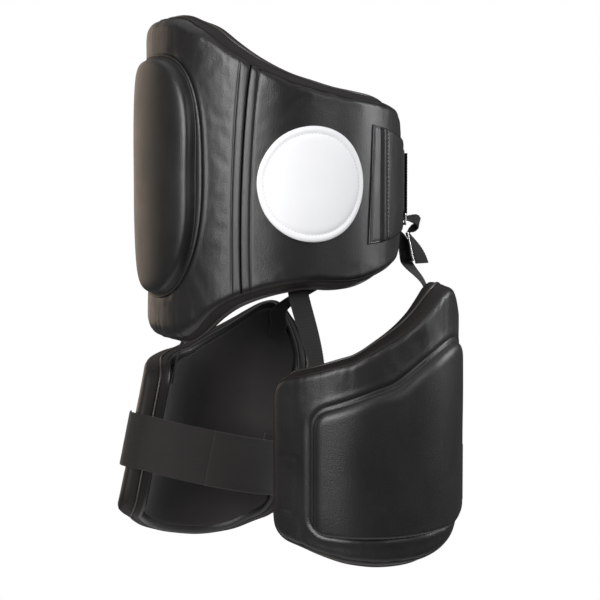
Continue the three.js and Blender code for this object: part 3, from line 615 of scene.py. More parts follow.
def padded_section(wall, sides, cells, relief):
    """One padded section between two sides. relief gives the skin's rise and how firmly it is held."""
    columns, rows = cells
    first, last = sides
    length = (last.top + last.bottom - first.top - first.bottom) / 2 * wall.arc
    lines = spaced(length, columns, *(SEAM_LINES if side.sewn else EDGE_LINES for side in sides))
    held = []

    def place(column, row, layer):
        column, row, layer = int(column), int(row), int(layer)
        along = lines[column] / length
        top_angle = first.top + (last.top - first.top) * along
        bottom_angle = first.bottom + (last.bottom - first.bottom) * along
        foot = wall.bottom(bottom_angle)
        tall = wall.top(top_angle) - foot
        share = spaced(tall, rows, EDGE_LINES, EDGE_LINES)[row] / tall
        bow = (first.bow + (last.bow - first.bow) * along) * 4 * share * (1 - share)
        angle = bottom_angle + (top_angle - bottom_angle) * share + bow
        height = foot + share * tall
        from_first = lines[column] if first.sewn else NO_SEAM
        from_last = length - lines[column] if last.sewn else NO_SEAM
        from_seam = min(from_first, from_last)
        edges = wall.from_edges(angle, height)
        roll = wall.roll(angle)
        fall = min(sum(round_off(edge, roll) for edge in edges), roll)
        rise, firm = relief(angle, height, min(edges))
        outer = wall.thick(angle) - fall - seam_fall(SKIN_STRETCH * from_seam) + rise
        inner = round_off(min(edges), INNER_ROLL)
        depth = inner + (outer - inner) * layer / LAYERS
        crown = GUSSET_CROWN * 4 * (layer / LAYERS) * (1 - layer / LAYERS)
        height += wall.drawn(angle, height) * layer / LAYERS
        if row in (0, rows):
            height += crown if row else -crown
        if column in (0, columns) and not sides[column > 0].sewn:
            angle += (crown if column else -crown) / wall.arc
        skin = 0 < row < rows and 0 < column < columns and layer == LAYERS
        hold = max(dip(min(edges), EDGE_HOLD), SEWN_FIRM * (from_seam < SEAM_HOLD), firm, FOAM_FIRM)
        held.append(hold if skin else 1)
        return wall.point(angle, height, depth), (angle * wall.arc * MM, height * MM)

    bm = lattice(columns, rows, LAYERS)
    bend(bm, place)
    return bm, held


# %% [markdown]
# The strike panel lies on the front section. The skin under it is drawn down by the panel's stitching
# and swells to a low lip just outside, so the panel's outline is needed here already: a rounded box
# whose squareness is a power, higher at the top than at the foot.

# %% Outline of the strike panel
PANEL_HALF_ANGLE = 33.6
PANEL_TOP = 165
PANEL_BOTTOM = -130
PANEL_SQUARENESS = (3.1, 2.4)
PANEL_MIDDLE = (PANEL_TOP + PANEL_BOTTOM) / 2
panel_size = Vector((PANEL_HALF_ANGLE * belly.arc, (PANEL_TOP - PANEL_BOTTOM) / 2))
print(f"strike panel: {2 * panel_size.x:.0f} x {2 * panel_size.y:.0f} mm")


def outline_spread(x, y, squareness):
    """1 on a rounded outline, less inside it: x and y are shares of its half width and half height."""
    power = squareness[0] if y > 0 else squareness[1]
    return (abs(x) ** power + abs(y) ** power) ** (1 / power)


def outside_panel(angle, height):
    """Distance out of the strike panel's outline, negative inside it."""
    x, y = angle * belly.arc / panel_size.x, (height - PANEL_MIDDLE) / panel_size.y
    spread = max(outline_spread(x, y, PANEL_SQUARENESS), 0.05)
    return math.hypot(x * panel_size.x, y * panel_size.y) * (1 - 1 / spread)


# %% Belly wall sections
SEAM_TOP, SEAM_BOTTOM, SEAM_BOW = 56, 51.6, 2.2
SEAM_GAP = 0.4


def puckers(angle, height, from_edge):
    """Upright pleats beside the edges and a faint unevenness everywhere, in millimetres."""
    pleat = noise.noise(Vector((angle * 0.55, height * 0.01, 3.7)))
    wave = noise.noise(Vector((angle * 0.11, height * 0.006, 9.1)))
    return 1.2 * pleat * math.exp(-from_edge / 22) + 0.5 * wave


def belly_relief(angle, height, from_edge):
    """Pleats, the lip beside the strike panel and the sunk skin under it."""
    outside = outside_panel(angle, height)
    under = min(max((1 - outside) / 4, 0), 1)
    lip = 1.4 * dip(outside - 2.6, 2.3)
    rise = puckers(angle, height, from_edge) * (1 - under) + lip - 3 * under
    return rise, SEWN_FIRM * (outside < 9)


def seam(sign, shift):
    return Side(sign * (SEAM_TOP + shift), sign * (SEAM_BOTTOM + shift), -sign * SEAM_BOW, True)


def end(angle):
    return Side(angle, angle, 0, False)


gap = SEAM_GAP / belly.arc
sections = [
    ("belly_front_pad", "belly_front", (seam(-1, 0), seam(1, 0)), (112, 58)),
    ("belly_left_pad", "belly_side_left", (seam(1, gap), end(BELLY_END)), (64, 48)),
    ("belly_right_pad", "belly_side_right", (end(-BELLY_END), seam(-1, gap)), (64, 48)),
]
for name, node, sides, cells in sections:
    bm, held = padded_section(belly, sides, cells, belly_relief)
    pad = piece(name, bm, black_leather, "leather", node)
    upholster(pad, held, slack=0.0013, pressure=1.2, limit=3)

# %% [markdown]
# ## Bindings and piping
# The gusset is covered by two dark strips of binding with a thin leather tube, the piping, between them,
# and the outer strip goes on over the roll to a crisp line on the skin. The piping's colour is painted
# lighter than the black leather, a painted highlight line along the edge. All of it follows the edge all
# the way round, so the edge is walked once, and the walk is swept with a closed section. Where the roll
# is wide, as in front, the strip goes less far over it.

# %% Walks round an edge
TIGHT_ROLL = 10
EVEN_SHARE = 0.4
Stop = namedtuple("Stop", "angle height in_arc in_height")


def edge_walk(wall, along_steps, end_steps):
    """Stops round an outline, each with the direction in from the edge, along the arc and upwards."""
    walk = []
    ways = [
        (wall.top, wall.bottom, wall.start, wall.end, -1),
        (wall.bottom, wall.top, wall.end, wall.start, 1),
    ]
    for edge, other, first, last, inward in ways:
        for step in range(along_steps):
            even = step / along_steps
            share = EVEN_SHARE * even + (1 - EVEN_SHARE) * (1 - math.cos(math.pi * even)) / 2
            angle = first + (last - first) * share
            slope = wall.slope(edge, angle)
            size = math.hypot(1, slope)
            walk.append(Stop(angle, edge(angle), -slope * inward / size, inward / size))
        for step in range(end_steps):
            height = edge(last) + (other(last) - edge(last)) * step / end_steps
            walk.append(Stop(last, height, inward, 0))
    return walk


def over_edge(thick, roll, at, out):
    """A way in from the edge and a depth: at runs to 1 across the gusset and on to 2 over the roll."""
    if at <= 1:
        crown = GUSSET_CROWN * 4 * at * (1 - at)
        return -crown - out, INNER_ROLL + at * (thick - roll - INNER_ROLL)
    turn = (at - 1) * math.pi / 2 * min(TIGHT_ROLL / roll, 1) ** 3
    return roll - (roll + out) * math.cos(turn), thick - roll + (roll + out) * math.sin(turn)


def sweep(wall, walk, section):
    """Sweeps a closed section, of places over the edge and ways off the skin, round a walk."""
    columns, rows = len(walk), len(section)
    bm = bmesh.new()
    bmesh.ops.create_grid(bm, x_segments=columns, y_segments=rows, size=0.5)

    def place(x, y, _):
        stop = walk[round((x + 0.5) * columns) % columns]
        at, out = section[round((y + 0.5) * rows) % rows]
        inward, depth = over_edge(wall.thick(stop.angle), wall.roll(stop.angle), at, out)
        angle = stop.angle + stop.in_arc * inward / wall.arc
        lean = wall.lean(stop.angle) * min(max(at, 0), 1)
        return wall.point(angle, stop.height + stop.in_height * (inward + lean), depth), (x, y)

    bend(bm, place)
    bmesh.ops.remove_doubles(bm, verts=bm.verts, dist=1e-6)
    return bm


# %% Bindings of a wall
INNER_STRIP = [
    (-0.03, -0.8), (-0.04, 0.5), (0.04, 1), (0.24, 1.2), (0.41, 1), (0.46, 0.4), (0.46, -0.8),
]
OUTER_STRIP = [
    (0.54, -0.8), (0.54, 0.4), (0.59, 1), (0.78, 1.2), (1, 1.2), (1.22, 1.2), (1.45, 1.1), (1.56, 0.9),
    (1.6, 0.2), (1.6, -0.8), (1.22, -0.8), (1, -0.8),
]
PIPING_AT, PIPING_OUT = 0.5, 1.2
PIPING_RADIUS = 1.5
PIPING_SIDES = 8


def edge_trim(wall, name, node, steps):
    """Two strips of binding and the piping between them."""
    walk = edge_walk(wall, *steps)
    for part, section, nodes in (("inner", INNER_STRIP, ()), ("outer", OUTER_STRIP, (node,))):
        strip = sweep(wall, walk, section)
        soften(piece(f"{name}_{part}_binding", strip, edge_leather, "binding", *nodes))
    wide = wall.thick(90) - wall.roll(90) - INNER_ROLL
    circle = []
    for step in range(PIPING_SIDES):
        turn = math.tau * step / PIPING_SIDES
        circle.append((PIPING_AT + PIPING_RADIUS * math.cos(turn) / wide,
                       PIPING_OUT + PIPING_RADIUS * math.sin(turn)))
    # The piping's lighter colour is a painted highlight.
    soften(piece(f"{name}_piping", sweep(wall, walk, circle), piping_painted_highlight, "binding"))


edge_trim(belly, "belly", "belly_binding", (150, 14))

# %% [markdown]
# ## The strike panel
# The tall raised panel is a second pad on the front. A flat welt runs round it between two sewn grooves,
# and inside the inner one the foam rises in a quick roll to a nearly flat face. A half section spun round
# an axis gives all of that in rings. The rings are then pulled out to the panel's outline, where the welt
# gets narrower and the roll softer towards the top and the foot, and laid on the wall.

# %% Discs of rings
CENTRE_RINGS = 12
CENTRE_HELD = 5
DISC_FIRM = 0.3
CROWN_POWER = 2.5
WELT = 9.4
Ring = namedtuple("Ring", "inset rise")


def disc(rings, steps):
    """A closed disc of rings: x and y give the direction, and z counts the rings from the rim."""
    bm = bmesh.new()
    count = len(rings) + CENTRE_RINGS
    line = [bm.verts.new((1, 0, ring)) for ring in range(count)]
    line.append(bm.verts.new((0, 0, count)))
    edges = [bm.edges.new(pair) for pair in zip(line, line[1:])]
    bmesh.ops.spin(bm, geom=line + edges, axis=(0, 0, 1), cent=(0, 0, 0), steps=steps,
                   angle=math.tau, use_merge=True)
    bmesh.ops.remove_doubles(bm, verts=bm.verts, dist=1e-4)
    rim = [edge for edge in bm.edges if edge.is_boundary]
    bmesh.ops.contextual_create(bm, geom=rim)
    return bm


def dress_disc(bm, rings, size, squareness, ends, crown, sewn, lay):
    """Pulls a disc of rings out to an outline and lays it: lay takes an arc, a height and a rise."""
    count = len(rings) + CENTRE_RINGS
    narrow, soft = ends
    held = []

    def place(x, y, ring):
        ring = round(ring)
        length = math.hypot(x, y)
        cos, sin = (x / length, y / length) if length > 1e-6 else (1, 0)
        rim = Vector((size.x * cos, size.y * sin)) / outline_spread(cos, sin, squareness)
        steep = (rim.y / size.y) ** 2
        inset, rise = rings[min(ring, len(rings) - 1)]
        inset = min(inset, WELT) * (1 - narrow * steep) + max(inset - WELT, 0) * (1 + soft * steep)
        inner = min((count - ring) / (CENTRE_RINGS + 1), 1)
        spot = rim * (1 - inset / rim.length) * inner
        if inner < 1:
            rise = crown - (crown - rise) * inner ** CROWN_POWER
        held.append(1 if ring < sewn or ring > count - CENTRE_HELD else DISC_FIRM)
        return lay(spot.x, spot.y, rise), (spot.x * MM, spot.y * MM)

    bend(bm, place)
    return held


# %% Strike panel
PANEL_STEPS = 144
PANEL_CROWN = 16.9
PANEL_ENDS = (0.65, 1.2)
PANEL_SEWN_RINGS = 9
SEWN_ON = 0.8
panel_rings = [
    Ring(1.2, -1.6), Ring(0, -1), Ring(0.7, 0.1), Ring(2, 0.8), Ring(4.4, 1.1), Ring(6.8, 0.8),
    Ring(8.4, 0.1), Ring(9.4, -0.5), Ring(9.9, 0.8), Ring(10.4, 3.4), Ring(11, 6.6), Ring(11.8, 9.3),
    Ring(13, 11.4), Ring(15, 13), Ring(18.3, 14.2), Ring(23, 15.1), Ring(29, 15.8), Ring(37, 16.3),
]


def on_front(arc, up, rise):
    """Lays something on the front of the belly wall."""
    return waist_point(arc / belly.arc, PANEL_MIDDLE + up, FRONT_THICK + SEWN_ON + rise)


bm = disc(panel_rings, PANEL_STEPS)
held = dress_disc(bm, panel_rings, panel_size, PANEL_SQUARENESS, PANEL_ENDS, PANEL_CROWN,
                  PANEL_SEWN_RINGS, on_front)
strike_panel = piece("strike_panel", bm, black_leather, "leather", "front_panel")
upholster(strike_panel, held, slack=0.001, pressure=0.8, limit=2)

# %% [markdown]
# ## Stitches
# A stitch is a short piece of thread that dips into the leather at both ends. A ball with few faces,
# stretched along the seam, is enough for it. A row of them needs a path on the surface and a pitch.

# %% Stitch rows
PATH_STEPS = 200
STITCH_SHARE = 0.3
LOOK_AHEAD = 0.3


def sew(name, paths, finish, pitch, radius):
    """Rows of stitches: path(share) gives a point in metres, pitch and radius are in millimetres."""
    bm = bmesh.new()
    shares = np.linspace(0, 1, PATH_STEPS)
    for path in paths:
        points = [path(share) for share in shares.tolist()]
        gone = np.cumsum([0] + [(b - a).length for a, b in zip(points, points[1:])])
        count = int(gone[-1] / (pitch * MM))
        for middle in np.linspace(0.5, count - 0.5, count) / count * gone[-1]:
            beside = [middle - LOOK_AHEAD * MM, middle + LOOK_AHEAD * MM]
            before, after = (path(share) for share in np.interp(beside, gone, shares).tolist())
            turned = (after - before).to_track_quat("X", "Z").to_matrix().to_4x4()
            size = Matrix.Diagonal((STITCH_SHARE * pitch * MM, radius * MM, radius * MM, 1))
            seat = Matrix.Translation((before + after) / 2) @ turned @ size
            bmesh.ops.create_uvsphere(bm, u_segments=6, v_segments=4, radius=1, matrix=seat)
    return piece(name, bm, finish, None)


# %% [markdown]
# ## The round targets
# A white leather disc is sewn on each side as a mark to aim at. It is a thin pad with a row of stitches
# a finger's width inside its rim, where the skin dips, and the rim is never perfectly round. The
# same rings make it: a circle is just an outline with squareness two.

# %% Targets
TARGET_ANGLE = 82.3
TARGET_HEIGHT = 9.6
TARGET_RADIUS = 68.2
TARGET_CROWN = 8.2
TARGET_STEPS = 120
TARGET_SEWN_RINGS = 11
TARGET_WOBBLE = 0.012
ROUND = (2, 2)
NO_ENDS = (0, 0)
target_rings = [
    Ring(2, -0.8), Ring(0.5, 0.2), Ring(0, 1.6), Ring(0.3, 3), Ring(1.3, 4.2), Ring(3, 5), Ring(5, 5.2),
    Ring(6.8, 4.8), Ring(8, 4.2), Ring(8.8, 4), Ring(9.6, 4.2), Ring(11, 4.9), Ring(13.4, 5.7),
    Ring(17, 6.3),
]
TARGET_STITCH = Ring(8.8, 4.1)
target_arc = math.radians(WAIST_HALF_WIDTH + belly.thick(TARGET_ANGLE))


def on_side(sign):
    """Lays something on a side of the belly wall round the middle of its target."""
    def lay(arc, up, rise):
        way = math.atan2(up, arc)
        wobble = 1 + TARGET_WOBBLE * noise.noise(Vector((1.7 * math.cos(way), 1.7 * math.sin(way), sign)))
        angle = sign * TARGET_ANGLE + arc * wobble / target_arc
        return waist_point(angle, TARGET_HEIGHT + up * wobble, belly.thick(angle) + SEWN_ON + rise)
    return lay


def target_row(lay):
    """The round row of stitches inside a target's rim."""
    radius = TARGET_RADIUS - TARGET_STITCH.inset

    def path(share):
        turn = math.tau * share
        return lay(radius * math.cos(turn), radius * math.sin(turn), TARGET_STITCH.rise)
    return path


for side, sign in SIDES:
    lay = on_side(sign)
    bm = disc(target_rings, TARGET_STEPS)
    size = Vector((TARGET_RADIUS, TARGET_RADIUS))
    held = dress_disc(bm, target_rings, size, ROUND, NO_ENDS, TARGET_CROWN, TARGET_SEWN_RINGS, lay)
    target = piece(f"white_target_{side}", bm, white_leather, "white_leather", f"target_{side}")
    upholster(target, held, slack=0.002, pressure=0.5, limit=1)
    sew(f"target_stitches_{side}", [target_row(lay)], white_thread, pitch=4.2, radius=0.5)

# %% [markdown]
# ## Closure tabs
# At each rear end a leather tab takes the elastic band. It is a patch sewn on along its border, with a
# folded second layer over its rear part that is sewn down beside the fold, and the band goes in between
# the layers. A thin box bent onto the wall does it, with close lines where the layers step.

# %% Tab values
TAB_START, TAB_FOLD, TAB_ROW, TAB_END = 110.3, 118.2, 122.4, 143
TAB_LEAN = 2.9
TAB_BORDER = 3
TAB_STOP = 5
TAB_DEPTH = 36
TAB_LINES = [0, 0.6, 1.6, 2.4, 3.4, 5]
TAB_ROW_CELLS = 44
tab_top = through([(110.3, 80), (118.2, 77.5), (132, 71), (143, 62)])
tab_bottom = through([(110.3, -63), (118.2, -61.3), (132, -56), (143, -48)])
tab_arc = math.radians(WAIST_HALF_WIDTH + TAB_DEPTH)
fold_at, row_at, tab_length = ((angle - TAB_START) * tab_arc for angle in (TAB_FOLD, TAB_ROW, TAB_END))
to_fold = spaced(fold_at, 16, TAB_LINES, [0, 0.6, 1.4, 2.4, 4])
to_row = spaced(row_at - fold_at, 12, [0.5, 1.2, 2.2, 3.6], [0, 0.7, 1.5, 2.6])
to_end = spaced(tab_length - row_at, 24, [0.7, 1.5, 2.6, 4], TAB_LINES)
tab_lines = [*to_fold, *(fold_at + step for step in to_row), *(row_at + step for step in to_end)]
print(f"tab {tab_length:.0f} mm long, {len(tab_lines)} lines")


# %% Tab shape
def tab_skin(along, height):
    """Rise of the tab's skin: a sewn border, the fold and the sewn row behind it."""
    angle = TAB_START + along / tab_arc
    from_edge = min(tab_top(angle) - height, height - tab_bottom(angle))
    border = min(along, from_edge)
    patch = 2.2 - round_off(border, 1.6) - 0.4 * dip(border - TAB_BORDER, 0.9)
    behind = along - fold_at
    layer = 2.4 * (1 - dip(max(behind, 0), 1.6)) + 0.8 * dip(behind - 4, 3)
    layer -= 0.5 * dip(along - row_at, 1.1)
    step = layer * min(1, max(from_edge, 0) / 2.5) if behind > 0 else -0.6 * dip(behind, 1.4)
    return patch + step


def on_tab(sign, along, height, out):
    """A point on a tab, whose front edge leans back towards the top."""
    angle = TAB_START + along / tab_arc
    share = (height - tab_bottom(angle)) / (tab_top(angle) - tab_bottom(angle))
    angle += TAB_LEAN * share * max(1 - along / fold_at, 0)
    return waist_point(sign * angle, height, belly.thick(angle) + 0.6 + out)


# %% Tabs
def tab_row_path(sign, along):
    """A row of stitches up a tab."""
    angle = TAB_START + along / tab_arc
    low, high = tab_bottom(angle) + TAB_BORDER, tab_top(angle) - TAB_BORDER

    def path(share):
        height = low + (high - low) * share
        return on_tab(sign, along, height, tab_skin(along, height))
    return path


def tab_border_path(sign, edge, inset):
    """A row of stitches along the top or the foot of a tab."""
    def path(share):
        along = TAB_BORDER + (tab_length - TAB_BORDER - TAB_STOP) * share
        height = edge(TAB_START + along / tab_arc) + inset
        return on_tab(sign, along, height, tab_skin(along, height))
    return path


for side, sign in SIDES:
    def place(column, row, layer):
        along = tab_lines[int(column)]
        angle = TAB_START + along / tab_arc
        low, high = tab_bottom(angle), tab_top(angle)
        height = low + spaced(high - low, TAB_ROW_CELLS, TAB_LINES, TAB_LINES)[int(row)]
        uneven = 0.3 * noise.noise(Vector((along * 0.08, height * 0.03, sign)))
        rise = tab_skin(along, height) + uneven if layer else -0.4
        return on_tab(sign, along, height, rise), (along * MM, height * MM)

    bm = lattice(len(tab_lines) - 1, TAB_ROW_CELLS, 1)
    bend(bm, place)
    soften(piece(f"leather_tab_{side}", bm, black_leather, "leather", f"closure_tab_{side}"))
    borders = [
        tab_row_path(sign, TAB_BORDER),
        tab_border_path(sign, tab_top, -TAB_BORDER),
        tab_border_path(sign, tab_bottom, TAB_BORDER),
    ]
    sew(f"tab_border_stitches_{side}", borders, black_thread, pitch=4.4, radius=0.8)
    sew(f"tab_row_stitches_{side}", [tab_row_path(sign, row_at)], black_thread, pitch=4.6, radius=1.05)

# %% [markdown]
# ## Straps
# Every strap is a flat band that follows a path. The path gives its middle and the direction across it,
# and the thickness goes along the third direction. Webbing is ribbed across and elastic is ribbed
# along, and both are thinner at the selvedge, so a relief changes the thickness from place to place.

# %% Bands
BAND_SAMPLES = np.linspace(0, 1, 400).tolist()
BAND_AHEAD = 0.002


def band(path, width, thick, step, rows, relief):
    """A strap along path(share), which gives the middle and the direction across, in metres."""
    samples = [path(share)[0] for share in BAND_SAMPLES]
    gone = [0, *np.cumsum([(b - a).length for a, b in zip(samples, samples[1:])]).tolist()]
    length = gone[-1]
    columns = max(int(length / (step * MM)), 4)

    def place(column, row, layer):
        distance = length * column / columns
        share = float(np.interp(distance, gone, BAND_SAMPLES))
        middle, across = path(share)
        ahead = path(min(share + BAND_AHEAD, 1))[0] - path(max(share - BAND_AHEAD, 0))[0]
        outward = ahead.cross(across).normalized()
        offset = (row / rows - 0.5) * width
        selvedge = round_off(min(row, rows - row) / rows * width, 0.35 * thick)
        half = thick / 2 + relief(distance / MM, offset) - selvedge
        spot = middle + across * (offset * MM) + outward * ((layer - 0.5) * 2 * half * MM)
        return spot, (distance, offset * MM)

    bm = lattice(columns, rows, 1)
    bend(bm, place)
    print(f"strap {width} mm wide, {length / MM:.0f} mm long")
    return bm


def cross_ribs(distance, offset):
    """Ribs across webbing."""
    return 0.2 * math.cos(math.tau * (distance + 0.12 * offset) / 3.6)


def long_ribs(distance, offset):
    """Ribs along elastic."""
    return 0.12 * math.cos(math.tau * offset / 3.2)


# %% Waist band
BAND_WIDTH = 76
BAND_HEIGHT = 12
BAND_START = 141
UP = Vector((0, 0, 1))
band_depth = through([(141, 37.9), (148, 38.5), (154, 38.4), (161, 34.8), (170, 29.5), (180, 27.5)])


def waist_path(share):
    angle = BAND_START + (360 - 2 * BAND_START) * share
    return waist_point(angle, BAND_HEIGHT, band_depth(min(angle, 360 - angle))), UP


bm = band(waist_path, BAND_WIDTH, thick=2, step=3, rows=92, relief=long_ribs)
piece("elastic_band", bm, elastic, "elastic", "waist_strap")

# %% [markdown]
# ## Rings and slides
# The rear straps hang on steel rings and pass through steel slides. Both are flat frames, so they start
# as a small grid: its lines are moved to the bars, the faces of the slots are deleted, the rest gets its
# thickness, and a bevel rounds every edge.

# %% Steel frames
PLATE_THICK = 2.4
PLATE_ROUND = 0.8
SHARP = 0.5


def slotted_frame(width, height, bar, slots, seat):
    """A bevelled frame with slots across it, put at seat."""
    slot_height = (height - (slots + 1) * bar) / slots
    rises = [0]
    for _ in range(slots):
        rises += [rises[-1] + bar, rises[-1] + bar + slot_height]
    rises.append(height)
    sides = [-width / 2, -width / 2 + bar, width / 2 - bar, width / 2]
    bm = bmesh.new()
    bmesh.ops.create_grid(bm, x_segments=3, y_segments=len(rises) - 1, size=0.5)
    holes = []
    for face in bm.faces:
        middle = face.calc_center_median()
        row = int((middle.y + 0.5) * (len(rises) - 1))
        if abs(middle.x) < 0.1 and row % 2:
            holes.append(face)
    bmesh.ops.delete(bm, geom=holes, context="FACES")
    for vert in bm.verts:
        column = round((vert.co.x + 0.5) * 3)
        row = round((vert.co.y + 0.5) * (len(rises) - 1))
        vert.co = Vector((sides[column], rises[row] - height / 2, -PLATE_THICK / 2)) * MM
    bmesh.ops.solidify(bm, geom=bm.faces, thickness=-PLATE_THICK * MM)
    bmesh.ops.recalc_face_normals(bm, faces=bm.faces)
    corners = [edge for edge in bm.edges if edge.is_manifold and edge.calc_face_angle(0) > SHARP]
    bmesh.ops.bevel(bm, geom=corners, offset=PLATE_ROUND * MM, affect="EDGES", segments=3, profile=0.5,
                    material=-1)
    bmesh.ops.transform(bm, matrix=seat, verts=bm.verts)
    return bm


def round_body(angle):
    """The direction round the body at an angle."""
    return Vector((math.cos(math.radians(angle)), math.sin(math.radians(angle)), 0))


def out_of_body(angle):
    """The direction out of the body at an angle."""
    return Vector((math.sin(math.radians(angle)), -math.cos(math.radians(angle)), 0))


def frame_seat(spot, facing, lean):
    """Where a steel frame hangs: it faces a way and leans out at its foot."""
    across = round_body(facing)
    upward = Matrix.Rotation(-math.radians(lean), 3, across) @ UP
    turned = Matrix((across, upward, across.cross(upward))).transposed().to_4x4()
    return Matrix.Translation(spot) @ turned


# %% [markdown]
# Behind each hip a short webbing loop hangs from the band and holds a ring. The rear strap comes up from
# the thigh, goes over the ring, bulges out in a slack fold and ends in a tail beside the slide.

# %% Loops, rings and slides
WEBBING_WIDTH = 25
WEBBING_THICK = 1.5
HANG_ANGLE = 158
HANG_FACING = 172
FOLD_FACING = 160
LOOP_TOP = 46
LOOP_HALF_GAP = 3.7
RING = dict(width=36, height=15, bar=3, slots=1)
RING_DROP = -36
SLIDE = dict(width=37, height=37, bar=4, slots=2)
SLIDE_OUT, SLIDE_DROP, SLIDE_LEAN, SLIDE_FACING = 12.5, -70, 12, 151
HANG_DEPTH = 36.6


def hang_spot(sign, out, height):
    """A point behind a hip: a way out of the ring along the fold, and a height."""
    spot = waist_point(sign * HANG_ANGLE, 0, HANG_DEPTH) + out_of_body(sign * FOLD_FACING) * (out * MM)
    return Vector((spot.x, spot.y, height * MM))


def loop_path(sign):
    """Down the outside of the band, under the ring's bar and up again."""
    low = RING_DROP + (RING["height"] - RING["bar"]) / 2
    away, across = out_of_body(sign * HANG_FACING), round_body(sign * HANG_FACING)

    def path(share):
        step = share * 10
        turn = math.pi * min(max((step - 3) / 4, 0), 1)
        rise = max(3 - step, step - 7, 0) / 3 * (LOOP_TOP - low)
        height = low - LOOP_HALF_GAP * math.sin(turn) + rise
        return hang_spot(sign, 0, height) + away * (LOOP_HALF_GAP * math.cos(turn) * MM), across
    return path


def webbing_band(path):
    """A webbing strap along a path."""
    return band(path, WEBBING_WIDTH, WEBBING_THICK, step=0.7, rows=12, relief=cross_ribs)


for side, sign in SIDES:
    loop = webbing_band(loop_path(sign))
    piece(f"hip_loop_{side}", loop, webbing, "webbing", f"ring_loop_{side}")
    seat = frame_seat(hang_spot(sign, 0, RING_DROP), sign * HANG_FACING, 0)
    bm = slotted_frame(**RING, seat=seat)
    piece(f"steel_ring_{side}", bm, steel, "steel", f"strap_ring_{side}")
    seat = frame_seat(hang_spot(sign, SLIDE_OUT, SLIDE_DROP), sign * SLIDE_FACING, SLIDE_LEAN)
    bm = slotted_frame(**SLIDE, seat=seat)
    piece(f"steel_slide_{side}", bm, steel, "steel", f"strap_slide_{side}")

# %% [markdown]
# ## Thigh pads
# A thigh pad is one padded section bent round the outside of the thigh, with a raised panel on it, a
# cloth lining inside and the same edge trim as the belly wall. The panel's outline slopes with the top of
# the pad, so it is a wall of its own with its own rows. The skin of the pad dips to the panel's sewn
# groove and swells to a lip outside it.

# %% Thigh walls
THIGH_FRONT, THIGH_REAR = 5.4, 171.6
THIGH_CORNER = 31
THIGH_ROLL = 9
THIGH_LEAN = 5
PANEL_CORNER = 20
thigh_rows = [
    Row(7, 76, -128.5), Row(22, 79.5, -130.5), Row(38, 86.5, -137.5), Row(54, 95.5, -145),
    Row(62, 100, -147.5), Row(75, 114, -150), Row(90, 131.5, -150), Row(103, 149.5, -148),
    Row(114, 166.5, -143.5), Row(122, 177, -138.5), Row(132, 181, -130.5), Row(146, 162, -115),
    Row(158, 140, -104), Row(170, 122, -97),
]
thigh_panel_rows = [
    Row(36, 36.5, -112), Row(48, 42.5, -114), Row(60, 50.5, -115.5), Row(72, 60, -116),
    Row(84, 69, -116), Row(96, 85.5, -115), Row(110, 102.5, -113), Row(128, 116, -109),
    Row(140, 115, -99.5), Row(150, 108, -88),
]
thigh_arc = math.radians(THIGH_RADIUS + THIGH_THICK / 2)
shells, panels = {}, {}


def same(value):
    """A value that is the same at every angle."""
    return lambda angle: value


for thigh in thighs:
    point = thigh_point(thigh.stance)
    ends = sorted((thigh.sign * THIGH_FRONT, thigh.sign * THIGH_REAR))
    shells[thigh.side] = Wall(point, thigh_arc, ends, thigh_rows, THIGH_CORNER,
                              *map(same, (THIGH_THICK, THIGH_ROLL, THIGH_LEAN)))
    ends = sorted(thigh.sign * thigh_panel_rows[row].angle for row in (0, -1))
    panels[thigh.side] = Wall(point, thigh_arc, ends, thigh_panel_rows, PANEL_CORNER, same(THIGH_THICK))
    print(f"thigh wall {thigh.side}: {(THIGH_REAR - THIGH_FRONT) * thigh_arc:.0f} mm round")

# %% [markdown]
# Where a strap is sewn through the front of a pad, a stitched box shows on the outside, and the
# leather is drawn down along it.

# %% Thigh shells
BOX_FIRST, BOX_LAST, BOX_HALF = 14, 26.5, 35
BOX_GROOVE = 1.5


def box_groove(angle, height, middle):
    """The sunk outline of the sewn box."""
    beside = min(abs(angle - BOX_FIRST), abs(angle - BOX_LAST)) * thigh_arc
    above = abs(abs(height - middle) - BOX_HALF)
    upright = dip(beside, BOX_GROOVE) * (abs(height - middle) < BOX_HALF + 2)
    level = dip(above, BOX_GROOVE) * (BOX_FIRST - 1 < angle < BOX_LAST + 1)
    return 1.8 * max(upright, level)


def outside_thigh_panel(panel, angle, height):
    """Distance out of a thigh panel's rounded outline, negative inside it."""
    beside = PANEL_CORNER - panel.from_end(angle)
    above = height - panel.top_line(abs(angle))
    below = panel.bottom_line(abs(angle)) - height
    beyond = max(above, below) + PANEL_CORNER
    return math.hypot(max(beside, 0), max(beyond, 0)) + min(max(beside, beyond), 0) - PANEL_CORNER


def thigh_relief(thigh):
    """Pleats of a thigh skin, the groove and the lip round its panel, and the sewn box."""
    panel = panels[thigh.side]

    def relief(angle, height, from_edge):
        outside = outside_thigh_panel(panel, angle, height)
        under = min(max((1 - outside) / 4, 0), 1)
        sewn = box_groove(abs(angle), height, thigh.strap_at) if thigh.sewn_at == "front" else 0
        lip = dip(outside - 4.5, 3.6)
        rise = puckers(angle, height, from_edge) * (1 - under) + lip - 2.5 * under - sewn
        return rise, SEWN_FIRM * (outside < 12)
    return relief


for thigh in thighs:
    shell = shells[thigh.side]
    sides = (end(shell.start), end(shell.end))
    bm, held = padded_section(shell, sides, (84, 62), thigh_relief(thigh))
    pad = piece(f"thigh_shell_{thigh.side}", bm, black_leather, "leather", f"thigh_pad_{thigh.side}")
    upholster(pad, held, slack=0.001, pressure=1.2, limit=3)
    edge_trim(shell, f"thigh_{thigh.side}", f"thigh_binding_{thigh.side}", (70, 12))

# %% Sewn box
left = next(thigh for thigh in thighs if thigh.sewn_at == "front")


def box_path(first, last):
    """A straight row of stitches between two corners of the box, each an angle and a height."""
    def path(share):
        angle, height = (a + (b - a) * share for a, b in zip(first, last))
        return shells[left.side].point(left.sign * angle, left.strap_at + height, THIGH_THICK - 1.3)
    return path


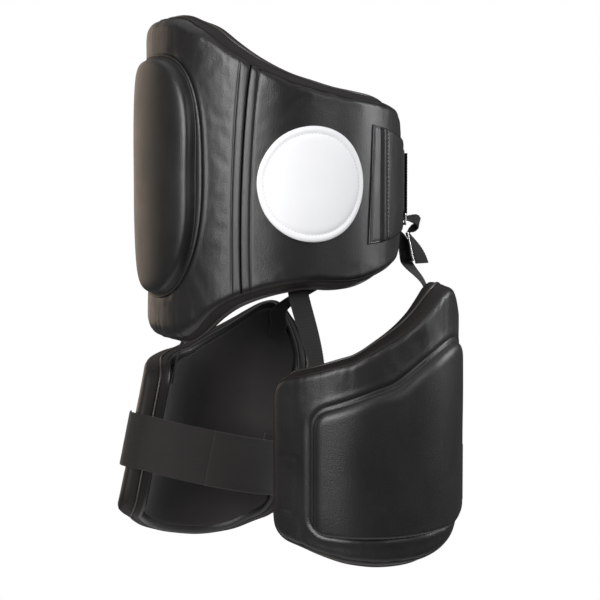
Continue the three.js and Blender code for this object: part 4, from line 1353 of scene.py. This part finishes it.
corners = [(BOX_FIRST, BOX_HALF), (BOX_LAST, BOX_HALF), (BOX_LAST, -BOX_HALF), (BOX_FIRST, -BOX_HALF)]
rows = [box_path(a, b) for a, b in zip(corners, corners[1:] + corners[:1])]
sew("thigh_box_stitches", rows, black_thread, pitch=4, radius=0.8)

# %% [markdown]
# The raised panel is a box whose rim lies in a groove. From there the foam rolls up to its face: softly
# at the top and beside, and sharply at the foot, where the photo shows a crisp crease.

# %% Raised thigh panels
THIGH_PANEL_PROUD = 7.5
RIM_LINES = [0, 1, 2.4, 4, 5.6, 7, 8.4, 10, 12, 14.5, 18, 23]
GROOVE = (6, 1, 6)
ROLL = (12, 6, 12)
RIM_HOLD, PANEL_FIRM = 9, 0.35


def thigh_panel(panel, cells):
    """A panel bent onto its thigh, and how firmly its skin is held."""
    columns, rows = cells
    lines = spaced((panel.end - panel.start) * thigh_arc, columns, RIM_LINES, RIM_LINES)
    held = []

    def place(column, row, layer):
        angle = panel.start + lines[int(column)] / thigh_arc
        foot = panel.bottom(angle)
        tall = panel.top(angle) - foot
        height = foot + spaced(tall, rows, RIM_LINES, RIM_LINES)[int(row)]
        edges = panel.from_edges(angle, height)
        rims = zip(edges, GROOVE, ROLL)
        full = 1 - min(sum(round_off((edge - groove) / roll, 1) for edge, groove, roll in rims), 1)
        wave = 0.6 * noise.noise(Vector((angle * 0.07, height * 0.012, 5.5)))
        rise = 0.3 - 1.2 * dip(min(edges), 1.5) + full * (THIGH_PANEL_PROUD + wave)
        held.append(max(dip(min(edges), RIM_HOLD), PANEL_FIRM) if layer else 1)
        spot = panel.point(angle, height, THIGH_THICK + (rise if layer else -2))
        return spot, (angle * thigh_arc * MM, height * MM)

    bm = lattice(columns, rows, 1)
    bend(bm, place)
    return bm, held


for thigh in thighs:
    bm, held = thigh_panel(panels[thigh.side], (70, 66))
    raised = piece(f"thigh_raised_panel_{thigh.side}", bm, black_leather, "leather",
                   f"thigh_panel_{thigh.side}")
    upholster(raised, held, slack=0.0005, pressure=0.8, limit=2)

# %% [markdown]
# ## Linings
# Inside each thigh pad lies one sheet of lining cloth, sewn down all round. It is stretched over the
# foam, so it keeps the shape of the wall with faint ripples and needs no simulation of its own.

# %% Linings
LINING_INSET = 11
LINING_THICK = 1.2
LINING_GAP = 0.6


def thigh_lining(shell):
    """A sheet on the inner face: its bmesh, its area, and the width and height of its cut."""
    bm = bmesh.new()
    bmesh.ops.create_grid(bm, x_segments=70, y_segments=60, size=0.5)
    inset = LINING_INSET / thigh_arc
    wide = shell.end - shell.start - 2 * inset
    heights = []

    def place(x, y, _):
        angle = shell.start + inset + wide * (x + 0.5)
        low, high = shell.bottom(angle) + LINING_INSET, shell.top(angle) - LINING_INSET
        height = low + (high - low) * (y + 0.5)
        heights.append(height)
        ripple = 0.3 * noise.noise(Vector((angle * 0.12, height * 0.03, 1.3)))
        spot = shell.point(angle, height, ripple - LINING_GAP - LINING_THICK)
        return spot, (angle * thigh_arc * MM, height * MM)

    bend(bm, place)
    area = sum(face.calc_area() for face in bm.faces)
    bmesh.ops.recalc_face_normals(bm, faces=bm.faces)
    bmesh.ops.solidify(bm, geom=bm.faces, thickness=LINING_THICK * MM)
    return bm, area, (wide * math.radians(THIGH_RADIUS) * MM, (max(heights) - min(heights)) * MM)


for thigh in thighs:
    bm, area, cut = thigh_lining(shells[thigh.side])
    cloth = piece(f"thigh_cloth_{thigh.side}", bm, lining, "lining", f"thigh_lining_{thigh.side}")
    print(f"lining cut {cut[0] / MM:.0f} x {cut[1] / MM:.0f} mm, {area * 1e4:.0f} square cm")

# %% [markdown]
# ## Thigh straps
# Each thigh is held by a wide strap in two halves. One half is sewn to the inner face of the pad and
# goes round the inside of the thigh. The other is elastic, overlaps it and wraps round the free edge of
# the pad. Both are paths round the thigh's own axis: a turn on from the sewn edge, and a distance out.

# %% Thigh straps
STRAP_WIDTH = 70
STRAP_THICK = 2
STRAP_BORDER = 10
STRAP_FRONT, STRAP_REAR = 7, 170
ANCHOR_TURNS = (-20, 133)
ELASTIC_START = 120
ELASTIC_ENDS = dict(left=206, right=213)
anchor_reach = through([(-20, 83.6), (0, 83.6), (50, 85), (90, 86.6), (133, 90)])
elastic_reach = through([
    (120, 86.2), (140, 88), (162, 93), (182, 101), (192, 111), (195, 122.4), (198.2, 127.6), (203, 129.4),
    (208, 128.6), (213, 128),
])


def strap_path(thigh, reach, first, last):
    """Round the inside of a thigh."""
    start = thigh.sign * (STRAP_FRONT if thigh.sewn_at == "front" else STRAP_REAR)
    way = -thigh.sign if thigh.sewn_at == "front" else thigh.sign
    upward = (thigh.stance.to_3x3() @ UP).normalized()

    def path(share):
        turn = first + (last - first) * share
        depth = reach(turn) - THIGH_RADIUS
        return shells[thigh.side].point(start + way * turn, thigh.strap_at, depth), upward
    return path


def sewn_ribs(distance, offset):
    """A smooth middle and ribbed borders."""
    if abs(offset) > 0.5 * STRAP_WIDTH - STRAP_BORDER:
        return 0.25 * math.cos(math.tau * offset / 3)
    return 0.05 * math.cos(math.tau * offset / 2.4)


for thigh in thighs:
    sewn = strap_path(thigh, anchor_reach, *ANCHOR_TURNS)
    bm = band(sewn, STRAP_WIDTH, STRAP_THICK, step=4, rows=84, relief=sewn_ribs)
    piece(f"thigh_strap_sewn_{thigh.side}", bm, elastic, "elastic", f"thigh_anchor_{thigh.side}")
    loose = strap_path(thigh, elastic_reach, ELASTIC_START, ELASTIC_ENDS[thigh.side])
    bm = band(loose, STRAP_WIDTH, STRAP_THICK, step=2.5, rows=84, relief=long_ribs)
    piece(f"thigh_strap_elastic_{thigh.side}", bm, elastic, "elastic", f"thigh_strap_{thigh.side}")

# %% [markdown]
# ## Hip straps
# Two webbing straps join each thigh pad to the belly wall, one at the front and one behind. Both are sewn
# to the inner faces. A stop says where the strap is, which way it faces and how it is twisted, and a
# smooth curve goes through the stops. The rear strap has many of them, because it folds over the ring.

# %% Paths through stops
Turn = namedtuple("Turn", "out height facing twist")
rear_turns = [
    Turn(27, -92, 112, 0), Turn(23.5, -81, 116, 0), Turn(18.8, -70.5, 125, 0), Turn(13.5, -61.5, 136, 0),
    Turn(9.6, -56.5, 142, 4), Turn(8.6, -52, 143, 12), Turn(12, -48.4, 143, 21), Turn(19, -46, 143, 28),
    Turn(23, -41.5, 145, 30), Turn(19.5, -37, 149, 28), Turn(12, -35.9, 156, 19), Turn(5, -36.2, 166, 7),
    Turn(0, -37.3, 172, 0), Turn(-3.4, -40.4, 172, 0), Turn(-4.2, -45.5, 167, 0), Turn(-2, -51, 150, 0),
    Turn(1.5, -58, 132, 0), Turn(4, -68, 121, 0), Turn(5.5, -80, 118, 0), Turn(8.5, -92, 118, 0),
]


def along_stops(stops):
    """A path through stops, each a spot, a facing angle and a twist."""
    spots, facings, twists = zip(*stops)
    reach = [0, *np.cumsum([math.sqrt((b - a).length) for a, b in zip(spots, spots[1:])]).tolist()]
    curves = [through(list(zip(reach, [spot[axis] for spot in spots]))) for axis in range(3)]
    facing, twist = through(list(zip(reach, facings))), through(list(zip(reach, twists)))

    def path(share):
        at = share * reach[-1]
        turn = math.radians(twist(at))
        across = round_body(facing(at)) * math.cos(turn) + UP * math.sin(turn)
        return Vector([curve(at) for curve in curves]), across
    return path


# %% Hip straps
BELLY_INSIDE = -3.5
THIGH_INSIDE = -6.15
BELLY_RISES = (31, 17, -6)
THIGH_RISES = (9, -17, -31)
FRONT_AT, REAR_AT = 26, 143


def on_belly(thigh, rise):
    """A stop inside the foot of the belly wall."""
    angle = thigh.sign * thigh.hung_at
    return waist_point(angle, belly.bottom(angle) + rise, BELLY_INSIDE), angle, 0


def on_thigh(thigh, at, rise):
    """A stop inside the top of a thigh pad."""
    angle = thigh.sign * at
    return shells[thigh.side].point(angle, shells[thigh.side].top(angle) + rise, THIGH_INSIDE), angle, 0


for thigh in thighs:
    front = [on_belly(thigh, rise) for rise in BELLY_RISES]
    front += [on_thigh(thigh, FRONT_AT, rise) for rise in THIGH_RISES]
    rear = []
    for turn in rear_turns:
        spot = hang_spot(thigh.sign, turn.out, turn.height)
        rear.append((spot, thigh.sign * turn.facing, thigh.sign * turn.twist))
    rear += [on_thigh(thigh, REAR_AT, rise) for rise in THIGH_RISES]
    for where, stops in (("front", front), ("rear", rear)):
        bm = webbing_band(along_stops(stops))
        spot = f"{where}_{thigh.side}"
        piece(f"hip_webbing_{spot}", bm, webbing, "webbing", f"hip_strap_{spot}")
